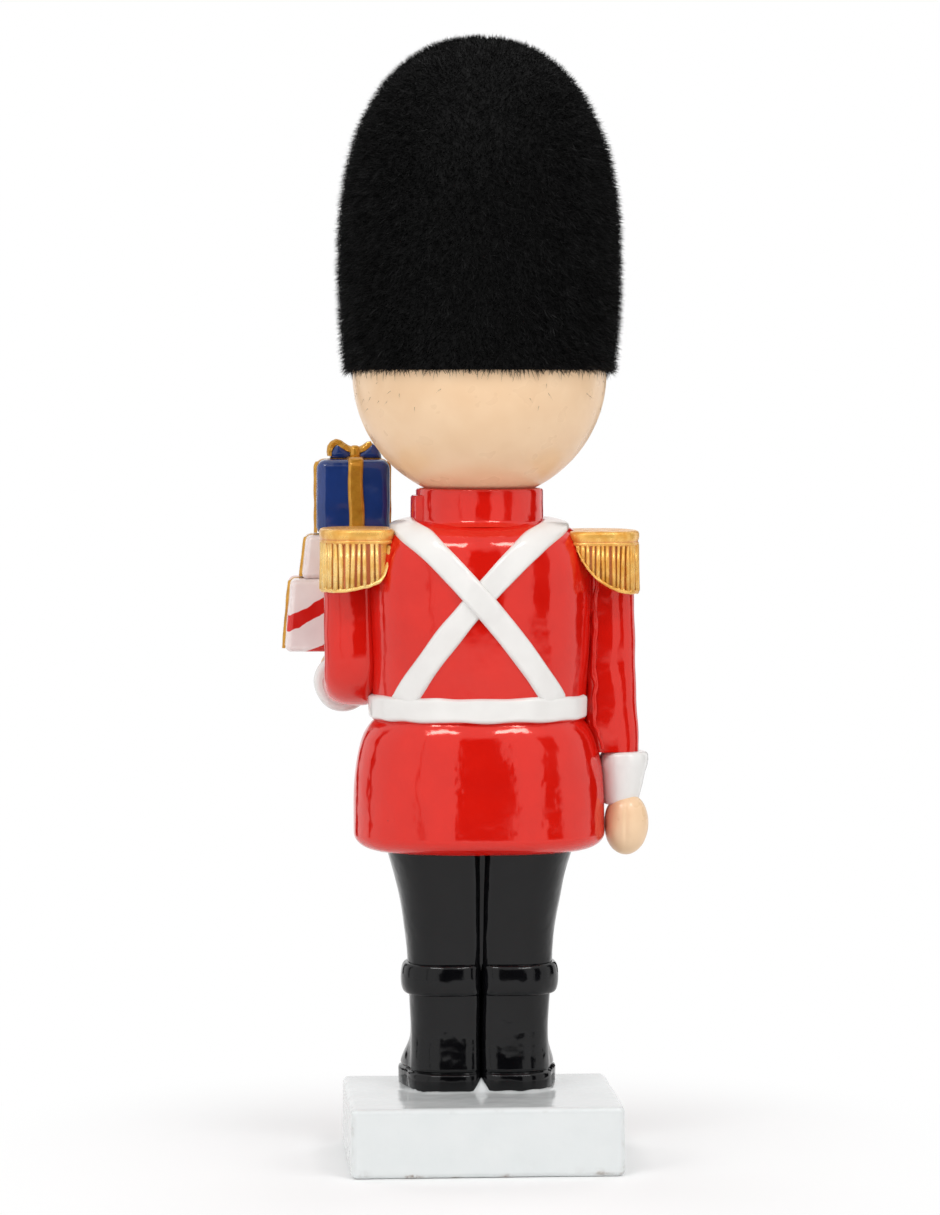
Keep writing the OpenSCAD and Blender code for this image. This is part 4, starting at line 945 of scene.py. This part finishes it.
# Side, lower edge (sideways stretch, start and width of the inner corner), where the cords begin, their
# spacing, their radius per spacing, the wash between them, how much higher the cap was glued on, finish
# the left side's finish is the paler gold, a painted highlight
for side, k, cut, border, spacing, cord, dark, raised, finish in (
        ("left", 1, (1.6, 24.8, 11.0), 26.7, 1.62, 0.37, 0.9, 0.9, lit_gold),
        ("right", -1, (1.0, 24.3, 0.1), 0.0, 1.34, 0.42, 0.6, 0.2, gold_paint)):
    node, on_shoulder = f"{side}_epaulette", (0, axis_y, raised)
    rows, wash = [], []
    for offset, rise in ((-4.5, 1.6), (-1.3, 0.2), (-0.8, 0.35)):
        section = drum(offset)
        rows.append(np.column_stack([section, cut_below(section[:, 0], *cut) + rise]))
        wash.append(np.where(section[:, 0] < border, 0.05, dark))
    for offset, z, grime in cap_profile:
        rows.append(level_ring(drum(offset), rim_top + z))
        wash.append(np.where(drum(offset)[:, 0] < border, 0.05, grime))
    piece(node, skin(shaken(rows, 0.08, 9, 61 + k)), gold_paint, node, on_shoulder, k,
          {"grime": np.concatenate(wash + [[0.5, 0.1]])})
    rim = drum(-0.42, 4800)
    walk = np.concatenate([[0], np.cumsum(np.linalg.norm(np.diff(rim, axis=0), axis=1))])
    count = int(walk[-1] / spacing)
    along = np.arange(count) + 0.5 + np.random.default_rng(65 + k).uniform(-0.2, 0.2, count)
    tops = level_ring(rim[np.searchsorted(walk, walk[-1] * along / count)], rim_top - 3.6)
    tops = tops[tops[:, 0] > border]
    drops = tops[:, 2] - cut_below(tops[:, 0], *cut) - 0.55 + 0.1 * wobble(tops, 3, 63 + k)
    grown(f"{side}_fringe", (tops, []), cords, {"Cord radius": cord / 1000 * spacing, "Finish": finish},
          node, on_shoulder, k, {"drop": np.maximum(drops, 0.5) / 1000})
    # the cords run into a thin scalloped edge
    edge = level_ring(drum(-0.25, 480), 0)
    outward = unit(edge - [drum_x, 0, 0])
    edge[:, 2] = cut_below(edge[:, 0], *cut) + 0.35 + 0.12 * wobble(edge, 2.6, 67)
    thick = 0.5 + 0.2 * smooth((border + 2.5 - edge[:, 0]) / 3)
    rows = [[p + r * (math.cos(a) * w + [0, 0, math.sin(a)]) for a in np.arange(8) * np.pi / 4]
            for p, w, r in zip(edge, outward, thick)]
    piece(f"{side}_fringe_edge", skin(rows, loop=True), finish, node, on_shoulder, k)

# the buttons and the buckle are kept as they are in the CAD model, in the same gold
for name in ("front_buttons", "belt_buckle"):
    refinish(name, gold_paint)


# Cuffs and hands
# Turned-back cuffs in white enamel, wide towards the elbow, and closed mitts in flesh enamel with
# shallow grooves between the fingers. The hands are pegged up through the cuffs.

cuff_h, mitt_r = 14, 5.7


def down_arm(rows, side):
    """Moves rows that hang from z = 0 on the z axis to a wrist."""
    rows = np.asarray(rows, float)
    if side == "right":
        return rows + [wrist_x, 0, cuff_top]
    return np.stack([rows[..., 0] + shoulder_x, rows[..., 2] - cuff_y, elbow_z - rows[..., 1]], axis=-1)


# Side, widest radius, radius at the hand and how far the cuff's foot is drawn in to the coat
for side, k, wide, foot, drawn in (("right", -1, 6.5, 4.6, 0.8), ("left", 1, 7.8, 4.6, 0.0)):
    outline = [(2.3, -13.6), (foot - 0.6, -14.2), (foot - 0.1, -13.9), (foot, -13.3),
               (0.45 * wide + 0.55 * foot, -9.0), (wide * 0.93, -5.5), (wide, -3.6), (wide + 0.05, -2.2),
               (wide - 0.1, -1.0), (wide - 0.45, -0.4), (wide - 1.0, -0.1), (wide - 1.6, 0.0), (3.0, -0.2)]
    cuff = [ring - [drawn * smooth(-z / cuff_h), 0, 0] for ring, (r, z) in zip(turned(outline), outline)]
    piece(f"{side}_cuff", skin(down_arm(shaken(cuff, 0.16, 8, 71), side)), white_enamel,
          f"{side}_cuff", side=k)
    mitt = []
    for f in np.concatenate([[0.003, 0.015, 0.04], np.linspace(0.07, 0.93, 34), [0.96, 0.985, 0.997]]):
        swell = mitt_r * math.sqrt(1 - abs(2 * f - 1) ** 2.2)
        ring = egg(swell, swell, swell, swell, 2.2)
        round_hand = np.arctan2(ring[:, 1], ring[:, 0])
        groove = np.exp(-((np.cos(round_hand * 3.5 + 0.4) - 1) / 0.05) ** 2)
        ring = ring * (1 - 0.045 * groove * math.sin(math.pi * min(1, f * 1.1)) ** 2)[:, None]
        if side == "left":
            raised = 2.1 * math.sin(min(math.pi / 2, math.pi * f))
            mitt.append(level_ring(ring - [0, raised], -12.1 - 14.4 * f))
        else:
            mitt.append(level_ring(1.02 * ring + [0.5, 1.9 * (1 - f)], -11.2 - 16.6 * f))
    piece(f"{side}_hand", skin(down_arm(shaken(mitt, 0.12, 6, 73), side)), flesh_enamel,
          f"{side}_hand", side=k)


# Gifts
# Three cast parcels stacked on the left forearm. The lower two are white with a thin pink wash, the
# lowest with broad red stripes across its faces, and the top one is blue. Each has a raised ribbon.

stack_x, gift_y, stack_z = 33.6, axis_y - 32.6, 133.65
ribbon_half, ribbon_rise, bow_lift, bow_aside = 2.3, 0.65, 0.3, -1.85
parcel_white, striped_white = (
    enamel(name, "#f1e6e4", "#e8d9d7", 0.18, 0.3, dirt="#b98f86", specks=0.02)
    for name in ("parcel_white_enamel", "striped_parcel_enamel"))
blue_enamel = enamel("blue_gloss_enamel", "#1f3b80", "#17316d", 0.14, 0.3, relief=3.0, dirt="#0d1a3c")
# two broad stripes, about 4.2 mm deep and 12.2 mm apart, that climb to the figure's right
stripe_level, stripe_half_gap, stripe_half = 0.1484, 0.0061, 0.0021
tree = striped_white.node_tree
place = add(tree, "ShaderNodeTexCoord").outputs["Object"]
slope = add(tree, "ShaderNodeVectorMath", {0: place, 1: (0.545, 0.5, 1.0)}, operation="DOT_PRODUCT")
ragged = add(tree, "ShaderNodeTexNoise", {"Vector": place, "Scale": 1 / 0.004, "Detail": 2.0})
ragged = add(tree, "ShaderNodeMapRange", {"Value": ragged, "To Min": -0.0009, "To Max": 0.0009})
off = add(tree, "ShaderNodeMath", {0: slope, 1: ragged}, operation="ADD")
for level in (stripe_level, stripe_half_gap):
    off = add(tree, "ShaderNodeMath", {0: off, 1: level}, operation="SUBTRACT")
    off = add(tree, "ShaderNodeMath", {0: off}, operation="ABSOLUTE")
stripe = add(tree, "ShaderNodeMapRange", {
    "Value": off, "From Min": stripe_half - 0.0001, "From Max": stripe_half + 0.0001,
    "To Min": 1.0, "To Max": 0.0})
painted_over(striped_white, stripe, "#d01a12")


def ribbon_band(size, r, across, moved, seed):
    """A ribbon up one side of a parcel, over its top and down the other side."""
    half, height = size[across] / 2, size[2]
    arc = np.linspace(0, np.pi / 2, 9)[1:]
    line = [(half, z) for z in np.linspace(0.4, height - r, 22)]
    line += [(half - r + r * math.cos(t), height - r + r * math.sin(t)) for t in arc]
    line += [(u, height) for u in np.linspace(half - r, -(half - r), 20)[1:]]
    line += [(-(half - r) - r * math.sin(t), height - r + r * math.cos(t)) for t in arc]
    line += [(-half, z) for z in np.linspace(height - r, 0.4, 22)[1:]]
    line = np.array(line)
    step = unit(np.gradient(line, axis=0))
    flat = np.column_stack([line[:, 0], 0 * line[:, 0], line[:, 1]])
    width = ribbon_half + 0.32 * wobble(flat, 7, seed)
    base = np.zeros((len(line), 11, 3))
    base[..., across], base[..., 2] = line[:, None, 0], line[:, None, 1]
    middle = moved + 0.25 * wobble(flat, 9, seed + 1)
    base[..., 1 - across] = middle[:, None] + np.linspace(-1, 1, 11)[None] * width[:, None]
    lift = np.zeros((len(line), 1, 3))
    lift[:, 0, across], lift[:, 0, 2] = step[:, 1], -step[:, 0]
    # where the two ribbons of a parcel cross on its top, the one across lies lower
    flush = np.where(flat[:, 2] > height - 0.9, 0.35, 1.0) if across == 0 else 1.0
    return skin(tape(base, lift, flush * (ribbon_rise + 0.12 * wobble(flat, 5, seed + 2)), 0.25))


def tapered(points, height, taper):
    """Points of a parcel drawn out at its foot and in at its top, along x."""
    return points * np.column_stack([1 + taper * (1 - 2 * points[:, 2] / height), np.ones((len(points), 2))])


# Name, size, soft edge, shift along x, ribbon's shift, taper, finish and slot of each parcel
z = stack_z
for number, (name, size, soft, shift, moved, taper, finish, slot) in enumerate((
        ("low_gift", (33.4, 24, 19.6), 1.6, 0.0, 0.0, 0.05, striped_white, "gift_white"),
        ("middle_gift", (24.4, 20, 11.8), 1.6, 0.0, 0.0, 0.05, parcel_white, "gift_white"),
        ("top_gift", (19.8, 18, 20.4), 2.4, -1.15, -0.7, 0.0, blue_enamel, "blue_paint"))):
    place, height = (stack_x + shift, gift_y, z), size[2]
    points, faces, edge_marks = soft_block(size, soft, 0.8)
    points = points + unit(points - [0, 0, height / 2]) * (0.14 * wobble(points, 9, 81 + number))[:, None]
    piece(name, (tapered(points, height, taper), faces), finish, name, place,
          marks={"grime": 0.25 * edge_marks})
    for across, tag in ((0, "side"), (1, "back")):
        points, faces = ribbon_band(size, soft, across, across * moved, 85 + 3 * number + across)
        piece(f"{name}_ribbon_{tag}", (tapered(points, height, taper), faces), deep_gold,
              f"{name}_ribbon", place)
    z += height

# The bow: two peaked loops filled in blue on either side of a knot. The gold band runs right round the
# left loop, and over the right one only as far as its peak. The outlines start at the outer end.
on_top, bow_heart = (stack_x + bow_aside, gift_y, z + bow_lift), np.array([4.2, 1.4])
left_fill = [(6.9, -0.1), (6.7, 1.5), (6.0, 3.0), (5.1, 3.8), (4.4, 3.8), (3.4, 3.0), (2.2, 2.1), (1.0, 1.4),
             (1.0, -0.1), (4.2, -0.2)]
left_band = [(6.9, 0.6), (7.0, 1.8), (6.7, 3.0), (6.0, 4.0), (5.1, 4.4), (4.1, 4.1), (3.1, 3.4), (2.0, 2.7),
             (0.6, 2.3)]
right_fill = [(7.1, -0.1), (7.0, 1.0), (6.4, 2.4), (5.6, 3.6), (4.9, 4.1), (4.2, 3.8), (3.2, 2.8), (2.0, 1.8),
              (1.0, 1.2), (1.0, -0.1), (4.2, -0.2)]
right_band = [(4.5, 4.2), (4.1, 4.0), (3.6, 3.7), (3.0, 3.2), (2.3, 2.7), (1.5, 2.4), (0.6, 2.2)]
band_section = ((-2.1, -0.9), (-2.2, 0.15), (-1.7, 0.8), (0, 0.95), (1.7, 0.8), (2.2, 0.15), (2.1, -0.9),
                (0, -1.0))
for side, k, fill, band in (("left", 1, left_fill, left_band), ("right", -1, right_fill, right_band)):
    rows = []
    for y, grow in ((-2.2, 0.55), (-1.8, 0.9), (0, 1.0), (1.8, 0.9), (2.2, 0.55)):
        inner = bow_heart + (np.array(fill) - bow_heart) * grow
        rows.append(np.column_stack([k * inner[:, 0], np.full(len(fill), y), inner[:, 1]]))
    piece(f"{side}_bow_fill", skin(shaken(rows, 0.15, 3, 93 + k)), blue_enamel, place=on_top)
    fine = np.linspace(0, len(band) - 1, 41)
    line = np.column_stack([np.interp(fine, np.arange(len(band)), column) for column in np.array(band).T])
    step = unit(np.gradient(line, axis=0))
    thin = 0.55 + 0.35 * smooth(np.arange(41) / 14)
    rows = [[[k * (x + tz * h * w), y, z - tx * h * w] for y, h in band_section]
            for (x, z), (tx, tz), w in zip(line, step, thin)]
    piece(f"{side}_bow_loop", skin(shaken(rows, 0.2, 3, 95)), deep_gold, "gift_bow", on_top)
points, faces, _ = soft_block((2.9, 5.2, 3.7), 1.2, 0.6)
piece("bow_knot", (points - [0, 0, 0.2], faces), deep_gold, "gift_bow", on_top)
